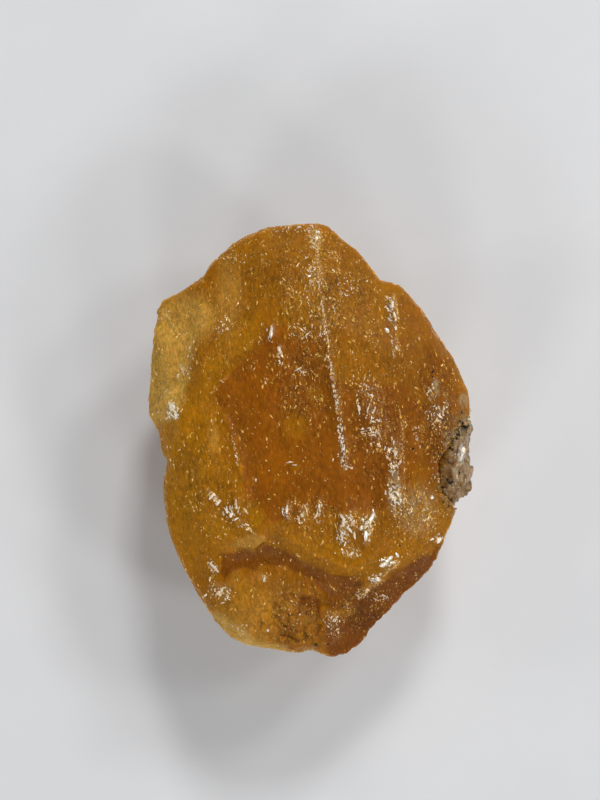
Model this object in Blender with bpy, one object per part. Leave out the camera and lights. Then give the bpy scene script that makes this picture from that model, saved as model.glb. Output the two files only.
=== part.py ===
"""A rough scheelite crystal with a little clear quartz grown on its right edge.

The stone lies on a flat cleavage face.  +Z is up, +Y runs along its length and its broad etched
face looks up.  Everything is in millimetres until the meshes are made, which are in metres.
"""

import math

import bmesh
import bpy
import numpy as np
from mathutils import Vector, noise

# Driving dimensions, each as the least and the greatest x, y and z
STONE_BOX = ((-16.5, -22.0, 0.0), (15.9, 22.0, 20.0))
QUARTZ_BOX = ((11.9, -6.5, 8.7), (16.5, 2.6, 16.9))
METRES = 0.001
FAR_AWAY = 200.0
SHARP_ANGLE = math.radians(35)

# The stone's outline seen from above, anticlockwise from the right.  Straight runs between the
# points are the chips that shaped the edge.
GIRDLE = (
    (15.9, 2.9), (15.8, 4.9), (15.1, 6.6), (14.4, 8.3), (13.5, 9.6), (12.4, 11.2), (11.1, 13.4),
    (9.9, 14.7), (8.7, 15.9), (6.9, 16.2), (5.8, 17.7), (4.6, 19.2), (2.9, 20.5), (1.8, 21.7),
    (0.5, 22.0), (-2.2, 21.8), (-4.6, 21.6), (-7.3, 20.4), (-9.1, 19.0), (-10.3, 17.9),
    (-10.9, 16.7), (-13.3, 15.0), (-15.2, 14.1), (-15.7, 13.0), (-15.5, 12.2), (-15.9, 11.2),
    (-16.0, 9.3), (-16.2, 6.6), (-16.5, 4.3), (-16.4, 2.9), (-15.9, 1.7), (-15.2, 1.0),
    (-15.3, -0.3), (-15.0, -1.2), (-14.5, -1.9), (-14.9, -4.1), (-14.7, -7.3), (-14.4, -9.3),
    (-13.4, -12.0), (-12.6, -13.6), (-10.7, -16.9), (-9.6, -18.7), (-8.2, -20.1), (-6.4, -20.8),
    (-4.0, -21.2), (-1.3, -21.7), (0.0, -21.3), (1.8, -22.0), (3.1, -21.8), (4.3, -21.0),
    (5.4, -20.1), (6.0, -19.0), (7.4, -17.6), (9.5, -15.3), (11.1, -13.9), (12.6, -11.9),
    (13.5, -9.5), (14.3, -7.6), (14.7, -5.6), (14.7, -3.2), (15.0, -1.0), (15.5, 1.2),
)

# The girdle's height above the resting face, and how the sides round over from it
GIRDLE_HEIGHT = 12.0
GIRDLE_WAVES = ((1, 0.8, 0.4), (2, 0.9, 2.0), (3, 0.7, 4.1), (5, 0.35, 1.0))  # per turn, mm, phase
UPPER_REACH, UPPER_RISE = 3.0, 7.0
LOWER_REACH, LOWER_RISE = 6.4, 11.4
NOTCH_DEPTH = 2.4  # how far in from the outline its notches are gone
NOTCH_SPREAD = 8.0  # degrees over which the outline is evened out there

# Flat faces, each as (x, y) on the face, its height there, the way it looks and its slope
UPPER_FACES = (
    ((2.2, 5.9), 19.8, 172, 3.5),  # left of the long seam
    ((2.2, 5.9), 19.8, -8, 5.5),  # right of the long seam
    ((8.7, 0.1), 18.9, 3, 31.0),  # right flank
    ((-7.8, 6.6), 18.9, 141, 24.0),  # upper left flank
    ((-1.0, 13.1), 19.1, 93, 17.0),  # head
    ((4.3, 14.6), 18.2, 52, 29.0),  # head, right corner
    ((-7.4, -7.0), 18.9, 226, 19.0),  # lower left flank
    ((-0.1, -8.0), 19.2, 268, 9.0),  # below the row of tufts
    ((7.6, -11.8), 17.4, 306, 42.0),  # lower right flank
    ((14.9, 4.6), 14.8, 14, 46.0),  # the sides, from the right and anticlockwise
    ((10.2, 13.3), 15.2, 52, 40.0),
    ((-2.5, 20.8), 15.5, 94, 35.0),
    ((-9.2, 18.0), 15.0, 126, 38.0),
    ((-16.1, 7.5), 14.6, 177, 50.0),
    ((-13.9, -8.5), 14.8, 203, 40.0),
    ((-8.7, -18.9), 14.2, 236, 38.0),
    ((8.9, -14.9), 14.0, 318, 44.0),
)
LOWER_FACES = (
    ((8.4, 2.0), 0.0, 14, 38.0),
    ((4.6, 10.6), 0.0, 66, 35.0),
    ((-4.8, 10.6), 0.0, 118, 40.0),
    ((-8.6, 1.5), 0.0, 176, 42.0),
    ((-6.6, -8.0), 0.0, 231, 38.0),
    ((0.6, -11.0), 0.0, 274, 41.0),
    ((7.7, -7.1), 0.0, 322, 43.0),
    ((12.6, -3.0), 4.4, -12, 62.0),
    ((7.4, 14.0), 5.2, 60, 57.0),
    ((-9.6, 13.0), 5.4, 130, 60.0),
    ((-12.4, -5.6), 5.0, 198, 63.0),
)
FACE_BLEND = 0.10  # how far worn edges are rounded
REST_CUT = 0.06  # taken off the underside, so that it is one true plane

# Hollows left by conchoidal chips, each as a sphere's centre, radius and innermost height
UPPER_CHIPS = (
    ((-4.3, -22.5), 13.2, 14.0),  # the bowl at the foot
)
LOWER_CHIPS = (
    ((10.2, 13.6), 9.0, 6.4),
    ((-10.6, -13.0), 8.0, 6.6),
)

# The faces' edges and the lines on them wander, by this much and over this distance
FACE_WANDER = (0.8, 5.5)
LINE_WANDER = (0.35, 2.1)

# Lumps and hollows on the upper face: (x, y), reach along x and y, height
SWELLINGS = (
    ((-13.8, 3.3), (1.8, 2.0), 1.6),  # knob on the left lobe
    ((-13.9, 10.8), (1.9, 2.6), 0.6),
    ((-12.0, 5.9), (0.7, 4.4), -0.5),  # groove inside the lobe
    ((-4.6, -17.2), (5.6, 4.6), 1.9),  # pale mound in the bowl
    ((2.0, -17.9), (1.2, 2.6), 0.9),
    ((-2.4, -6.6), (0.7, 1.5), 0.30),  # tufts in a row above the ledge
    ((-0.7, -7.0), (0.7, 1.3), 0.25),
    ((0.7, -6.6), (0.7, 1.4), 0.25),
    ((3.2, -7.7), (0.9, 1.9), 0.45),
    ((5.2, -7.7), (0.8, 1.8), 0.45),
    ((5.7, 2.5), (1.6, 3.2), 0.30),
    ((8.1, -1.0), (0.9, 1.6), 0.30),
    ((8.2, -5.6), (1.2, 2.6), 0.35),
    ((-4.0, 10.7), (0.7, 1.2), 0.30),
    ((12.3, 3.2), (1.2, 2.2), 0.35),
    ((0.1, 16.5), (1.0, 4.6), 0.25),
)

# Raised seams, each as its points, half-width and height
SEAMS = (
    (((0.0, 21.0), (0.4, 16.0), (1.2, 11.7), (2.2, 5.9), (3.1, 0.6), (3.2, -1.6), (4.0, -2.6)), 0.45, 0.38),
    (((8.0, 15.0), (8.2, 11.7), (8.3, 9.0)), 0.50, 0.45),
    (((8.6, 2.3), (8.8, -2.7), (8.8, -7.2)), 0.45, 0.40),
    (((-8.4, 2.9), (-7.1, -1.2), (-6.7, -3.3), (-6.1, -6.0)), 0.35, 0.30),
    (((-10.3, -4.4), (-8.9, -5.9), (-7.5, -7.0), (-6.1, -8.3), (-4.8, -9.6)), 0.55, 0.45),
    (((-6.8, -4.6), (-7.6, -6.8)), 0.40, 0.35),
    (((-9.7, 5.1), (-8.3, 6.2), (-7.0, 7.7), (-5.7, 9.3)), 0.40, 0.30),
    (((8.2, -11.2), (6.3, -13.1), (4.7, -15.2)), 0.60, 0.35),
)

# Cleavage steps: the ground on the right of each line, walking along it, lies lower
STEPS = (
    (((-9.1, -10.4), (-5.8, -10.7), (-4.8, -9.7), (-1.0, -11.1), (2.3, -12.9), (5.1, -13.2)), 0.3, 1.2, 3.2),
    (((-11.2, 14.6), (-12.0, 10.7), (-12.0, 5.9), (-12.4, 2.7), (-14.7, 0.6)), 0.35, 1.2, 5.0),
    (((8.8, -7.3), (8.8, -2.7), (8.6, 2.3)), 0.25, 0.35, 2.2),
)

# Rumpling of the whole surface: wavelengths along x, y and z, and height
RUMPLES = (((7.0, 9.0, 6.0), 0.40), ((2.9, 4.4, 2.9), 0.18), ((1.4, 2.9, 1.7), 0.08))
SHATTER = ((-1.6, -17.6), (3.2, 3.4), 1.7, 0.55)  # fractured patch: centre, reach, facet size, height

CUBE_DIVISIONS = 74  # of the cube blown up into the stone; even, so that a row lies on the girdle
SCHEELITE_SHARE = 0.125  # of those triangles that the finished stone keeps
QUARTZ_SHARE = 0.22

# The quartz grown on the right edge: lumps as centre and half-sizes, before they fill its box
QUARTZ_LUMPS = (
    ((13.9, -3.3, 12.8), (2.4, 3.2, 4.1)),
    ((14.6, -0.6, 13.0), (1.35, 2.1, 3.2)),
    ((15.6, 1.5, 12.9), (0.9, 1.1, 1.8)),
)
QUARTZ_FACETS = 26
QUARTZ_GAP = 0.3  # between the quartz and its socket
QUARTZ_DIVISIONS = 18

SCHEELITE_COLOUR = (0.62, 0.30, 0.030, 1.0)
QUARTZ_COLOUR = (0.72, 0.72, 0.66, 1.0)


def clear_scene():
    """Removes whatever the file opened with."""
    for thing in list(bpy.data.objects):
        bpy.data.objects.remove(thing, do_unlink=True)


def crystal_material(name, colour, roughness, ior, transmission):
    """A plain Principled material for one mineral."""
    material = bpy.data.materials.new(name)
    material.use_nodes = True
    shader = material.node_tree.nodes["Principled BSDF"]
    shader.inputs["Base Color"].default_value = colour
    shader.inputs["Roughness"].default_value = roughness
    shader.inputs["Metallic"].default_value = 0.0
    shader.inputs["IOR"].default_value = ior
    shader.inputs["Transmission Weight"].default_value = transmission
    return material


def inflated_cube(divisions):
    """Unit directions of a finely divided cube blown up into a ball, in a bmesh."""
    mesh = bmesh.new()
    bmesh.ops.create_cube(mesh, size=2.0)
    bmesh.ops.subdivide_edges(mesh, edges=mesh.edges[:], cuts=divisions - 1, use_grid_fill=True)
    for vertex in mesh.verts:
        even = Vector([math.tan(c * math.pi / 4) for c in vertex.co])
        vertex.co = even.normalized()
    return mesh


def places(mesh):
    """The vertices of a bmesh as an array."""
    return np.array([vertex.co for vertex in mesh.verts])


def put_at(mesh, points):
    """Moves the vertices of a bmesh to these points."""
    for vertex, point in zip(mesh.verts, points):
        vertex.co = point


def noise_at(points, wavelengths, seed):
    """Smooth noise from -1 to 1 with these wavelengths along x, y and z."""
    shift = np.array([seed * 17.3, seed * 5.1, seed * 9.7])
    scaled = points / np.array(wavelengths) + shift
    return np.array([noise.noise(Vector(point)) for point in scaled])


def girdle_radius(angle):
    """How far the outline lies from the middle at each angle."""
    points = np.array(GIRDLE)
    angles = np.arctan2(points[:, 1], points[:, 0])
    order = np.argsort(angles)
    radii = np.hypot(points[:, 0], points[:, 1])
    return np.interp(angle, angles[order], radii[order], period=2 * math.pi)


def evened_radius(angle):
    """The outline's radius with its notches evened out."""
    total, weight = 0.0, 0.0
    for turn in np.linspace(-2, 2, 17):
        share = math.exp(-(turn**2) / 2)
        total = total + share * girdle_radius(angle + turn * math.radians(NOTCH_SPREAD))
        weight += share
    return total / weight


def girdle_height(angle, share):
    """How high the girdle runs: it wanders up and down the sides and is level further in."""
    waves = sum(reach * np.sin(turns * angle + phase) for turns, reach, phase in GIRDLE_WAVES)
    return GIRDLE_HEIGHT + waves * share**6


def quarter_round(inset, reach, rise):
    """The height of a rounded side above the girdle, at this inset from the outline."""
    share = np.clip(inset / reach, 0.0, 1.0)
    return rise * np.sqrt(1 - (1 - share) ** 2) + 0.6 * np.clip(inset - reach, 0.0, None)


def lowest(heights, blend=FACE_BLEND):
    """The lowest of several surfaces, with the edges where they meet rounded by blend."""
    stacked = np.array(heights)
    floor = stacked.min(axis=0)
    return floor - blend * np.log(np.exp((floor - stacked) / blend).sum(axis=0))


def face_height(x, y, place, height, azimuth, slope):
    """The height of a flat face that looks towards azimuth and falls that way by slope degrees."""
    across = math.cos(math.radians(azimuth))
    along = math.sin(math.radians(azimuth))
    run = (x - place[0]) * across + (y - place[1]) * along
    return height - math.tan(math.radians(slope)) * run


def chip_height(x, y, centre, radius, bottom):
    """The floor of a spherical hollow, and far above the stone outside it."""
    away = (x - centre[0]) ** 2 + (y - centre[1]) ** 2
    inside = np.clip(radius**2 - away, 0.0, None)
    return np.where(inside > 0, bottom + radius - np.sqrt(inside), FAR_AWAY)


def along_line(x, y, line):
    """Each point's distance from a broken line, its side (+1 on the left) and the share gone by."""
    nearest = np.full(x.shape, np.inf)
    side = np.ones(x.shape)
    gone = np.zeros(x.shape)
    lengths = [math.dist(a, b) for a, b in zip(line, line[1:])]
    before = 0.0
    for (ax, ay), (bx, by), length in zip(line, line[1:], lengths):
        ux, uy = (bx - ax) / length, (by - ay) / length
        run = np.clip((x - ax) * ux + (y - ay) * uy, 0.0, length)
        away = np.hypot(x - ax - run * ux, y - ay - run * uy)
        closer = away < nearest
        side = np.where(closer, np.sign(ux * (y - ay) - uy * (x - ax)), side)
        gone = np.where(closer, (before + run) / sum(lengths), gone)
        nearest = np.minimum(nearest, away)
        before += length
    return nearest, side, gone


def swelling(x, y, centre, reach, height):
    """A smooth lump, or a hollow where height is negative."""
    away = ((x - centre[0]) / reach[0]) ** 2 + ((y - centre[1]) / reach[1]) ** 2
    return height * np.exp(-(away**1.5))


def seam(x, y, line, half_width, height):
    """A raised line that tapers off at its ends."""
    away, _, gone = along_line(x, y, line)
    ends = np.clip(np.minimum(gone, 1 - gone) / 0.06, 0.0, 1.0)
    return height * ends * np.exp(-((away / half_width) ** 2))


def step(x, y, line, softness, drop, reach):
    """Ground that lies lower by drop on the right of a line and climbs back over reach."""
    away, side, gone = along_line(x, y, line)
    ends = np.clip(np.minimum(gone, 1 - gone) / 0.15, 0.0, 1.0)
    below = 1 / (1 + np.exp(np.clip(side * away / (softness / 2), -40, 40)))
    return -drop * ends * below * np.exp(-((away / reach) ** 2))


def shattered(x, y):
    """Small tilted facets, as where a corner was struck."""
    (cx, cy), (reach_x, reach_y), size, height = SHATTER
    away = np.clip(1 - ((x - cx) / reach_x) ** 2 - ((y - cy) / reach_y) ** 2, 0.0, 1.0)
    tilt = np.zeros(x.shape)
    for index in np.flatnonzero(away):
        spot = Vector((x[index] / size, y[index] / size, 3.7))
        _, cells = noise.voronoi(spot)
        lean = noise.noise_vector(cells[0] * 5.3)
        tilt[index] = lean.x * (spot.x - cells[0].x) + lean.y * (spot.y - cells[0].y) + 0.4 * lean.z
    return height * np.sqrt(away) * tilt


def wandering(x, y, amount, span):
    """The places x and y nudged about, so that lines ruled through them are not quite straight."""
    points = np.column_stack([x, y, np.zeros(x.shape)])
    return x + amount * noise_at(points, (span,) * 3, 6), y + amount * noise_at(points, (span,) * 3, 7)


def upper_surface(x, y, inset, rim):
    """The height of the broad etched side."""
    u, v = wandering(x, y, *FACE_WANDER)
    heights = [face_height(u, v, *face) for face in UPPER_FACES]
    heights += [chip_height(u, v, *chip) for chip in UPPER_CHIPS]
    u, v = wandering(x, y, *LINE_WANDER)
    patchy = 0.8 + 0.6 * noise_at(np.column_stack([x, y, inset]), (1.9, 3.1, 4.0), 8)
    relief = patchy * sum(seam(u, v, *line) for line in SEAMS) + shattered(x, y)
    relief = relief + sum(step(u, v, *line) for line in STEPS)
    relief = relief + sum(swelling(u, v, *lump) for lump in SWELLINGS)
    faces = lowest(heights) + relief
    return lowest([faces, rim + quarter_round(inset, UPPER_REACH, UPPER_RISE)], 0.3)


def lower_surface(x, y, inset, rim):
    """The depth of the side that the stone lies on: a flat rest and the faces round it."""
    u, v = wandering(x, y, *FACE_WANDER)
    depths = [np.zeros(x.shape)]
    depths += [face_height(u, v, place, -height, way, slope) for place, height, way, slope in LOWER_FACES]
    depths += [chip_height(u, v, centre, radius, -height) for centre, radius, height in LOWER_CHIPS]
    side = quarter_round(inset, LOWER_REACH, LOWER_RISE) - rim
    return -lowest([lowest(depths), side], 0.3)


def rumple(mesh, points, inset):
    """The points moved along the surface's normals by its waviness, but not where it rests."""
    put_at(mesh, points)
    mesh.normal_update()
    normals = np.array([vertex.normal for vertex in mesh.verts])
    depth = np.zeros(len(points))
    for seed, (wavelengths, height) in enumerate(RUMPLES):
        depth += height * noise_at(points, wavelengths, seed + 1)
    depth *= np.clip(points[:, 2] / 2.5, 0.0, 1.0) * (1 - 0.7 * np.exp(-((inset / 0.8) ** 2)))
    return points + normals * depth[:, None]


def cut_flat(mesh, height):
    """Takes off everything below height and closes the cut with one flat face."""
    geometry = mesh.verts[:] + mesh.edges[:] + mesh.faces[:]
    cut = bmesh.ops.bisect_plane(
        mesh, geom=geometry, plane_co=(0, 0, height), plane_no=(0, 0, 1), clear_inner=True
    )
    edges = [edge for edge in cut["geom_cut"] if isinstance(edge, bmesh.types.BMEdge)]
    bmesh.ops.contextual_create(mesh, geom=edges)


def thinned(mesh, share):
    """The mesh with only this share of its triangles, fewest where it is flat."""
    data = bpy.data.meshes.new("dense")
    bmesh.ops.triangulate(mesh, faces=mesh.faces[:])
    mesh.to_mesh(data)
    dense = bpy.data.objects.new("dense", data)
    bpy.context.scene.collection.objects.link(dense)
    modifier = dense.modifiers.new("Thin", "DECIMATE")
    modifier.ratio = share
    evaluated = dense.evaluated_get(bpy.context.evaluated_depsgraph_get())
    kept = bmesh.new()
    kept.from_mesh(evaluated.to_mesh())
    evaluated.to_mesh_clear()
    bpy.data.objects.remove(dense)
    bpy.data.meshes.remove(data)
    return kept


def fit(mesh, low, high):
    """Stretches a bmesh so that it exactly fills the box from low to high."""
    points = places(mesh)
    least = points.min(axis=0)
    scale = (np.array(high) - low) / (points.max(axis=0) - least)
    put_at(mesh, low + (points - least) * scale)


def scheelite_shape():
    """The stone in millimetres, lying on its resting face."""
    mesh = inflated_cube(CUBE_DIVISIONS)
    directions = places(mesh)
    angle = np.arctan2(directions[:, 1], directions[:, 0])
    share = np.hypot(directions[:, 0], directions[:, 1])
    radius = girdle_radius(angle)
    even = np.clip(radius * (1 - share) / NOTCH_DEPTH, 0.0, 1.0) ** 1.5
    radius = radius + even * (evened_radius(angle) - radius)
    x, y = share * radius * np.cos(angle), share * radius * np.sin(angle)
    inset, rim = radius * (1 - share), girdle_height(angle, share)
    above = upper_surface(x, y, inset, rim)
    below = lower_surface(x, y, inset, rim)
    height = np.where(directions[:, 2] > 1e-6, above, np.where(directions[:, 2] < -1e-6, below, rim))
    put_at(mesh, rumple(mesh, np.column_stack([x, y, height]), inset))
    mesh = thinned(mesh, SCHEELITE_SHARE)
    cut_flat(mesh, REST_CUT)
    fit(mesh, *STONE_BOX)
    return mesh


def quartz_shape(gap=0.0):
    """The quartz mass in millimetres, larger by gap all round: lumps with flat crystal faces."""
    mesh = inflated_cube(QUARTZ_DIVISIONS)
    centre = np.array(QUARTZ_LUMPS[0][0])
    directions = places(mesh)
    reach = np.zeros(len(directions))
    for middle, half in QUARTZ_LUMPS:
        way, offset = directions / np.array(half), (centre - middle) / np.array(half)
        square, slant = (way**2).sum(axis=1), (way * offset).sum(axis=1)
        inside = slant**2 - square * ((offset**2).sum() - 1)
        far = (np.sqrt(np.clip(inside, 0.0, None)) - slant) / square
        reach = np.maximum(reach, np.where(inside > 0, far, 0.0))
    golden = math.pi * (3 - math.sqrt(5))
    for facet in range(QUARTZ_FACETS):
        z = 1 - 2 * (facet + 0.5) / QUARTZ_FACETS
        flat = math.sqrt(1 - z * z)
        slope = directions @ np.array([flat * math.cos(facet * golden), flat * math.sin(facet * golden), z])
        depth = (0.90 + 0.04 * math.sin(facet * 2.4)) * (slope * reach).max()
        reach = np.where(slope > 0.05, np.minimum(reach, depth / np.clip(slope, 0.05, None)), reach)
    put_at(mesh, directions * reach[:, None])
    fit(mesh, np.array(QUARTZ_BOX[0]) - gap, np.array(QUARTZ_BOX[1]) + gap)
    return mesh


def finished_object(name, mesh, material):
    """An object in metres from a bmesh in millimetres."""
    bmesh.ops.scale(mesh, vec=(METRES,) * 3, verts=mesh.verts[:])
    bmesh.ops.recalc_face_normals(mesh, faces=mesh.faces[:])
    data = bpy.data.meshes.new(name)
    mesh.to_mesh(data)
    mesh.free()
    data.shade_smooth()
    data.set_sharp_from_angle(angle=SHARP_ANGLE)
    data.materials.append(material)
    made = bpy.data.objects.new(name, data)
    bpy.context.scene.collection.objects.link(made)
    return made


def main():
    """Builds the scheelite, and the quartz in its socket."""
    clear_scene()
    amber = crystal_material("scheelite", SCHEELITE_COLOUR, 0.25, 1.92, 0.6)
    clear = crystal_material("quartz", QUARTZ_COLOUR, 0.1, 1.54, 0.9)
    scheelite = finished_object("scheelite_crystal", scheelite_shape(), amber)
    socket = finished_object("quartz_socket", thinned(quartz_shape(QUARTZ_GAP), QUARTZ_SHARE), clear)
    socket.hide_render = True
    socket.display_type = "WIRE"
    cut = scheelite.modifiers.new("Quartz socket", "BOOLEAN")
    cut.operation = "DIFFERENCE"
    cut.object = socket
    finished_object("quartz_edge", thinned(quartz_shape(), QUARTZ_SHARE), clear)


main()
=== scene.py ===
"""A rough scheelite crystal: honey-amber and translucent, with etched faces, rubbed seams and a
little smoky quartz grown on its right edge, lying on a pale table under soft light.

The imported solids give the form. This script lays the fine surface over them, dresses it, and sets
out the small things that sit on it: crumbs, flakes, lumps of quartz and grains of black ore.
"""

import logging
import math
from collections.abc import Callable
from dataclasses import dataclass
from enum import Enum
from typing import NamedTuple, TypeVar

import bmesh
import bpy
import numpy as np
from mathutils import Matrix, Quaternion, Vector, noise
from mathutils.bvhtree import BVHTree


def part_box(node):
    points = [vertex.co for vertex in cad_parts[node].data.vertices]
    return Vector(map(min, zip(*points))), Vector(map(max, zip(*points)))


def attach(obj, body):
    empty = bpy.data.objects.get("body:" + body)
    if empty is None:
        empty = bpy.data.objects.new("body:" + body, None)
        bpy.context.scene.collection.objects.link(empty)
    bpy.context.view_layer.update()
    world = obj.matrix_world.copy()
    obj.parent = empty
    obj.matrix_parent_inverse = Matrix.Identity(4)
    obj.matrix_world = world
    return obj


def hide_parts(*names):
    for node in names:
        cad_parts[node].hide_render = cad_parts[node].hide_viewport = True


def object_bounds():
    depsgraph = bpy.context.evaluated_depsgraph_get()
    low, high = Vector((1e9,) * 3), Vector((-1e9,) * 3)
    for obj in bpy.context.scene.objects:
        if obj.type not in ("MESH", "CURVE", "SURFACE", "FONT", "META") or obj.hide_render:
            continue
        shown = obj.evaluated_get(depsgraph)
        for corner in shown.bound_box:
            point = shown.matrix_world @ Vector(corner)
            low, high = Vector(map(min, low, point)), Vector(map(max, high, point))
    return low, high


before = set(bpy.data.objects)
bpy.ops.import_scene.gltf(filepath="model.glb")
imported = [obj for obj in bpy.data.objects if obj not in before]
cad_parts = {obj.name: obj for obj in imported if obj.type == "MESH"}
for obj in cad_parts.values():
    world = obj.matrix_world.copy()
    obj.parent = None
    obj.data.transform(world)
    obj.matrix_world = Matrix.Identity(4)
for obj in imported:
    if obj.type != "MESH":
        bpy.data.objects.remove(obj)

LOG = logging.getLogger("scheelite")
CAD_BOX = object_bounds()
BODY = "root"
MM = 0.001
UP = Vector((0, 0, 1))
GRAIN_OF_STONE = -8.7  # degrees from upright at which the etching runs down the broad face

Colour = tuple[float, float, float, float]
Spot = tuple[float, float]
Triple = tuple[float, float, float]
Socket = bpy.types.NodeSocket
Plug = bpy.types.NodeSocket | float | tuple[float, ...] | Vector
Plugs = dict[str | int, Plug]
Kind = TypeVar("Kind")


class Mark(Enum):
    """The marks on the stone's skin, each kept as one attribute of its mesh."""

    AMBER = "deep_amber"
    # Golden tone, and the painted glow on the foot's ledge where light comes through the stone.
    GOLD_AND_GLOW = "golden_tone_and_painted_glow"
    STRAW = "pale_straw"
    # Dark umber, and painted shadow under the ledge, on the lower-right face and in the shattered facets'
    # gaps.
    UMBER_AND_SHADE = "umber_and_painted_shade"
    GREY = "clear_grey"
    FROST = "rubbed_frost"
    ETCH = "etched_skin"


def rows(kind: type[Kind], *table: tuple) -> tuple[Kind, ...]:
    """Makes one thing from each row of a table.

    Args:
        kind: what is made.
        table: the rows, each with the values of the thing's fields.

    Returns:
        The things, in the table's order.
    """
    return tuple(kind(*row) for row in table)


# Measuring on the broad face, in millimetres


def smooth_step(low: float, high: float, value: np.ndarray) -> np.ndarray:
    """A soft step from 0 below low to 1 above high.

    Args:
        low: where the step starts.
        high: where it ends.
        value: what is compared with them.

    Returns:
        The step's height for each value.
    """
    share = np.clip((value - low) / (high - low), 0.0, 1.0)
    return share * share * (3 - 2 * share)


@dataclass(frozen=True)
class Ripple:
    """Smooth noise over a surface: its wavelengths in millimetres and its seed."""

    spans: Triple
    seed: int
    seed_step: Triple = (13.7, 7.9, 3.1)

    def at(self, places: np.ndarray) -> np.ndarray:
        """The noise at each place, from -1 to 1."""
        moved = places / np.array(self.spans) + self.seed * np.array(self.seed_step)
        return np.array([noise.noise(Vector(place)) for place in moved])


@dataclass(frozen=True)
class Facets:
    """Small tilted facets with narrow gaps between them: their size in millimetres and the gaps'."""

    spans: Triple
    gap: Spot = (0.02, 0.2)
    scramble: float = 4.1
    seed: int = 7

    def shape(self, places: np.ndarray, reach: np.ndarray) -> tuple[np.ndarray, np.ndarray]:
        """Breaks a surface up.

        Args:
            places: the vertices' places in millimetres.
            reach: how strongly each vertex is broken up.

        Returns:
            How far each vertex leans out, for a tilt of one, and how near it is to a gap.
        """
        noise.seed_set(self.seed)
        height, apart = np.zeros(len(places)), np.ones(len(places))
        for index in np.flatnonzero(reach > 0.01):
            spot = Vector(places[index] / self.spans)
            away, cells = noise.voronoi(spot)
            height[index] = noise.noise_vector(cells[0] * self.scramble).dot(spot - cells[0])
            apart[index] = away[1] - away[0]
        return reach * height, reach * (1 - smooth_step(*self.gap, apart))


@dataclass(frozen=True)
class Trace:
    """A line drawn over the broad face."""

    points: tuple[Spot, ...]

    def measure(self, x: np.ndarray, y: np.ndarray) -> tuple[np.ndarray, np.ndarray]:
        """Measures places against the line.

        Args:
            x: the places' x.
            y: the places' y.

        Returns:
            Each place's distance from the line, and the share of the line gone by at its nearest
            point.
        """
        nearest, gone = np.full(x.shape, np.inf), np.zeros(x.shape)
        lengths = [math.dist(a, b) for a, b in zip(self.points, self.points[1:])]
        before = 0.0
        for (ax, ay), (bx, by), length in zip(self.points, self.points[1:], lengths):
            ux, uy = (bx - ax) / length, (by - ay) / length
            run = np.clip((x - ax) * ux + (y - ay) * uy, 0.0, length)
            away = np.hypot(x - ax - run * ux, y - ay - run * uy)
            gone = np.where(away < nearest, (before + run) / sum(lengths), gone)
            nearest = np.minimum(nearest, away)
            before += length
        return nearest, gone

    def tapered(self, x: np.ndarray, y: np.ndarray, taper: float) -> tuple[np.ndarray, np.ndarray]:
        """Each place's distance from the line, and a strength that fades out at the line's ends."""
        away, gone = self.measure(x, y)
        return away, smooth_step(0.0, taper, np.minimum(gone, 1 - gone))


@dataclass(frozen=True)
class Seam(Trace):
    """A raised seam, rubbed white along its crest."""

    half_width: float
    height: float
    frost: float
    frost_width: float
    taper: float = 0.05

    def shape(self, x: np.ndarray, y: np.ndarray) -> tuple[np.ndarray, np.ndarray]:
        """Shapes the seam.

        Args:
            x: the places' x.
            y: the places' y.

        Returns:
            The seam's height and its frost at each place.
        """
        away, ends = self.tapered(x, y, self.taper)
        height = self.height * ends * np.exp(-((away / self.half_width) ** 2))
        return height, self.frost * ends * np.exp(-((away / self.frost_width) ** 2))


@dataclass(frozen=True)
class Crack(Trace):
    """A fine crack, sunk a little and dark inside, or golden where its umber is negative."""

    half_width: float
    depth: float
    umber: float
    taper: float = 0.12

    def shape(self, x: np.ndarray, y: np.ndarray) -> tuple[np.ndarray, np.ndarray]:
        """Shapes the crack.

        Args:
            x: the places' x.
            y: the places' y.

        Returns:
            The crack's height, which is negative, and its darkness at each place.
        """
        away, ends = self.tapered(x, y, self.taper)
        line = ends * np.exp(-((away / self.half_width) ** 2))
        return -self.depth * line, self.umber * line


@dataclass(frozen=True)
class Tuft:
    """A small upright crest left by etching, leaning to the right by some degrees."""

    x: float
    y: float
    length: float
    width: float
    lean: float
    height: float

    def shape(self, x: np.ndarray, y: np.ndarray) -> np.ndarray:
        """Shapes the tuft.

        Args:
            x: the places' x.
            y: the places' y.

        Returns:
            Its height at each place.
        """
        turn = math.radians(self.lean)
        along = (y - self.y) * math.cos(turn) + (x - self.x) * math.sin(turn)
        across = (x - self.x) * math.cos(turn) - (y - self.y) * math.sin(turn)
        run = np.clip(1 - (2 * along / self.length) ** 2, 0.0, None)
        rise = np.clip(1 - np.abs(across) / (self.width * 0.5), 0.0, None)
        return self.height * np.sqrt(run) * rise


@dataclass(frozen=True)
class Patch:
    """An oval patch of the broad face with a soft edge: its middle, and its reach along x and y."""

    x: float
    y: float
    across: float
    along: float
    strength: float = 1.0
    softness: float = 0.35

    def shape(self, x: np.ndarray, y: np.ndarray) -> np.ndarray:
        """Gives the patch's strength at each place."""
        away = np.hypot((x - self.x) / self.across, (y - self.y) / self.along)
        return self.strength * (1 - smooth_step(1 - self.softness, 1 + self.softness, away))


@dataclass(frozen=True)
class Region:
    """A part of the broad face inside a closed line, with a soft edge."""

    outline: tuple[Spot, ...]
    strength: float
    softness: float

    def shape(self, x: np.ndarray, y: np.ndarray) -> np.ndarray:
        """Fills the region.

        Args:
            x: the places' x.
            y: the places' y.

        Returns:
            Its strength at each place.
        """
        inside = np.zeros(x.shape, dtype=bool)
        corners = self.outline + self.outline[:1]
        for (ax, ay), (bx, by) in zip(corners, corners[1:]):
            if ay != by:
                crossing = (bx - ax) * (y - ay) / (by - ay) + ax
                inside ^= ((ay > y) != (by > y)) & (x < crossing)
        away = Trace(corners).measure(x, y)[0]
        return self.strength * smooth_step(-self.softness, self.softness, np.where(inside, away, -away))


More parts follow.
